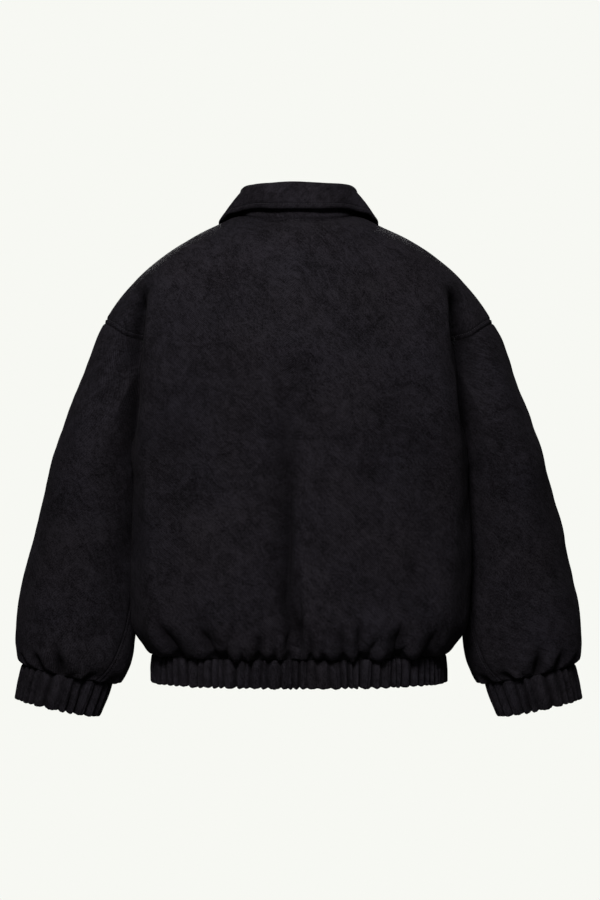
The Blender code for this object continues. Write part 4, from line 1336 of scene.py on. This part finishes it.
# Runs on the panels: piece, panels, seam, distance from it, turned, first row and last row
panel_runs = (
    ("side_stitching", all_panels, "to_side", SIDE_STITCH, False, 4, -4),
    ("neck_stitching", all_panels, "from_top", TOP_STITCH, True, 0, -6),
    ("sleeve_stitching", sleeve_lines.values(), "to_seam", SIDE_STITCH, False, 3, -3),
    ("zip_stitching", front_lines.values(), "from_centre", FRONT_STITCH, False, 3, -3),
)
for sewn_name, sewn_panels, *sewn_where in panel_runs:
    sew(sewn_name, [runs_of(lines, *sewn_where) for lines in sewn_panels])
collar_middle = collar_lines["to_front"].shape[1] // 2
collar_runs = [runs_of(collar_lines, "to_edge", COLLAR_STITCH, True, first=9, last=-9)]
for half in (slice(None, collar_middle), slice(collar_middle, None)):
    half_lines = {key: value[:, half] for key, value in collar_lines.items()}
    collar_runs.append(runs_of(half_lines, "to_front", COLLAR_STITCH, first=42, last=-8))
sew("collar_stitching", collar_runs)

# The zip. A black woven tape on each side of the opening, with moulded teeth that meet in the
# middle up to the slider, and a coated metal slider with its pull tab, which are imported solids.
ZIP_TOP_ROW, SLIDER_ROW = -3.05, -3.6
TAPE_SPAN = (0.1 * MM, 12.2 * MM)
TAPE_OPENING = 1.6 * MM
TAPE_DEPTH, TAPE_THICKNESS = 2.6 * MM, 0.9 * MM
TOOTH_PITCH = 3.1 * MM
TOOTH_SIZE = (2.9 * MM, 2.4 * MM, 1.75 * MM)
TOOTH_PLACE, TOOTH_DEPTH = 1.2 * MM, 2.0 * MM
TEETH_START, TEETH_OPENING, TOOTH_EDGE = 4 * MM, 1.5 * MM, 0.35 * MM
ZIP_MOUTH = 20 * MM
STOP_SIZE, STOP_RISE = (2.6 * MM, 2.6 * MM, 4.5 * MM), 3.6 * MM
BOX_SIZE, BOX_PLACE = (8.4 * MM, 2.6 * MM, 10 * MM), -2
TAPE_STEP = 3 * MM


def make_zip_cloth():
    """Black tape, woven in fine ribs along its length."""
    material, shader, yarn = new_material("zip_tape_cloth", {"Specular IOR Level": 0.25})
    cut, across, along = on_cut(yarn)
    ribs = yarn.sum("SINE", across * (2 * math.pi / (0.7 * MM)))
    picks = yarn.sum("SINE", along * (2 * math.pi / (0.5 * MM)))
    grain = noise(yarn, cut, 1200, 2)
    tone = blend(yarn, grain, (0.006, 0.006, 0.007, 1), (0.016, 0.015, 0.018, 1))
    feed(tone, shader, "Base Color")
    feed(0.7 + grain * 0.2, shader, "Roughness")
    raise_nap(yarn, shader, 0.5, 0.1 * MM, ribs + picks * 0.6 + grain)
    return material


def zip_places(spacing, start=0.0):
    """Points down the zip at even spacing, with the ways along it and off it."""
    line = body_base(np.zeros(60), np.linspace(ZIP_TOP_ROW, -HEM_ROW, 60))
    foot = np.array([[0, line[-1, 1], BAND_TOP - 6 * MM], [0, line[-1, 1], BAND_BOTTOM]])
    line = np.concatenate([line, foot])
    line[:, 0] = 0
    length = run_lengths(line, 0)
    places = np.arange(start, length[-1] - 1 * MM, spacing)
    points = np.stack([np.interp(places, length, line[:, i]) for i in range(3)], -1)
    along = unit(np.gradient(points, axis=0))
    return points, along, np.cross(along, np.array([1.0, 0, 0])), length[-1]


def opened_above(points):
    """How far the zip is open at each point: 0 up to the slider, 1 some way above it."""
    slider = body_base(np.array(0.0), np.array(SLIDER_ROW))
    return np.clip((points[:, 2] - slider[2]) / ZIP_MOUTH, 0, 1)


def make_tapes():
    """The two tapes behind the teeth, which part above the slider."""
    zip_cloth = make_zip_cloth()
    points, along, off, length = zip_places(TAPE_STEP)
    opened = TAPE_OPENING * opened_above(points)
    across = np.linspace(TAPE_SPAN[0] + opened, TAPE_SPAN[1] + 0 * opened, 6).T
    across = across[..., None] * np.array([1.0, 0, 0])
    for name, side in (("zip_tape_left", 1), ("zip_tape_right", -1)):
        outer = (points - off * TAPE_DEPTH)[:, None] + side * across
        inner = outer - (off * TAPE_THICKNESS)[:, None]
        down = np.linspace(0, length, len(points))[:, None] + 0 * across[..., 0]
        cut = np.stack([across[..., 0] + 0 * down, down], -1)
        zip_cloths = (zip_cloth, zip_cloth)
        piece = cloth_wall(name, outer, inner, cut, slot="zip_tape", cloths=zip_cloths)
        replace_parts(piece, "zip_tape")


def make_teeth():
    """The teeth of both sides, the stops above them and the box at the foot, as one piece."""
    form = bmesh.new()

    def block(point, along, off, across, size):
        axes = (np.array([size[0], 0, 0]), off * size[1], along * size[2])
        centre = point - off * TOOTH_DEPTH + np.array([across, 0, 0])
        bmesh.ops.create_cube(form, size=1, matrix=placed(axes, centre))

    for side, start in ((1, TEETH_START), (-1, TEETH_START + TOOTH_PITCH / 2)):
        points, along, off, _ = zip_places(TOOTH_PITCH, start)
        across = side * (TOOTH_PLACE + TEETH_OPENING * opened_above(points))
        for place in range(len(points) + BOX_PLACE - 1):
            block(points[place], along[place], off[place], across[place], TOOTH_SIZE)
        block(points[0] - along[0] * STOP_RISE, along[0], off[0], across[0], STOP_SIZE)
        if side > 0:
            block(points[BOX_PLACE], along[BOX_PLACE], off[BOX_PLACE], 0, BOX_SIZE)
    bevel = {"segments": 1, "profile": 0.5, "affect": "EDGES", "material": -1}
    bmesh.ops.bevel(form, geom=form.edges, offset=TOOTH_EDGE, **bevel)
    mesh = mesh_of(form, "zip_teeth")
    constants = {"Base Color": (0.008, 0.008, 0.009, 1), "Specular IOR Level": 0.3}
    moulded, shader, yarn = new_material("moulded_teeth", constants)
    feed(0.46 + grain_on(yarn, 500) * 0.2, shader, "Roughness")
    mesh.materials.append(moulded)
    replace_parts(add_piece("zip_teeth", mesh), "zip_tape")


make_tapes()
make_teeth()

metal, metal_shader, metal_yarn = new_material(
    "coated_metal", {"Metallic": 0.9, "Base Color": (0.035, 0.035, 0.038, 1)}
)
feed(0.28 + grain_on(metal_yarn, 700, 3, 0.6) * 0.16, metal_shader, "Roughness")
for metal_node in ("zip_slider", "zip_pull"):
    metal_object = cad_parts[metal_node]
    metal_object.data.materials.clear()
    metal_object.data.materials.append(metal)
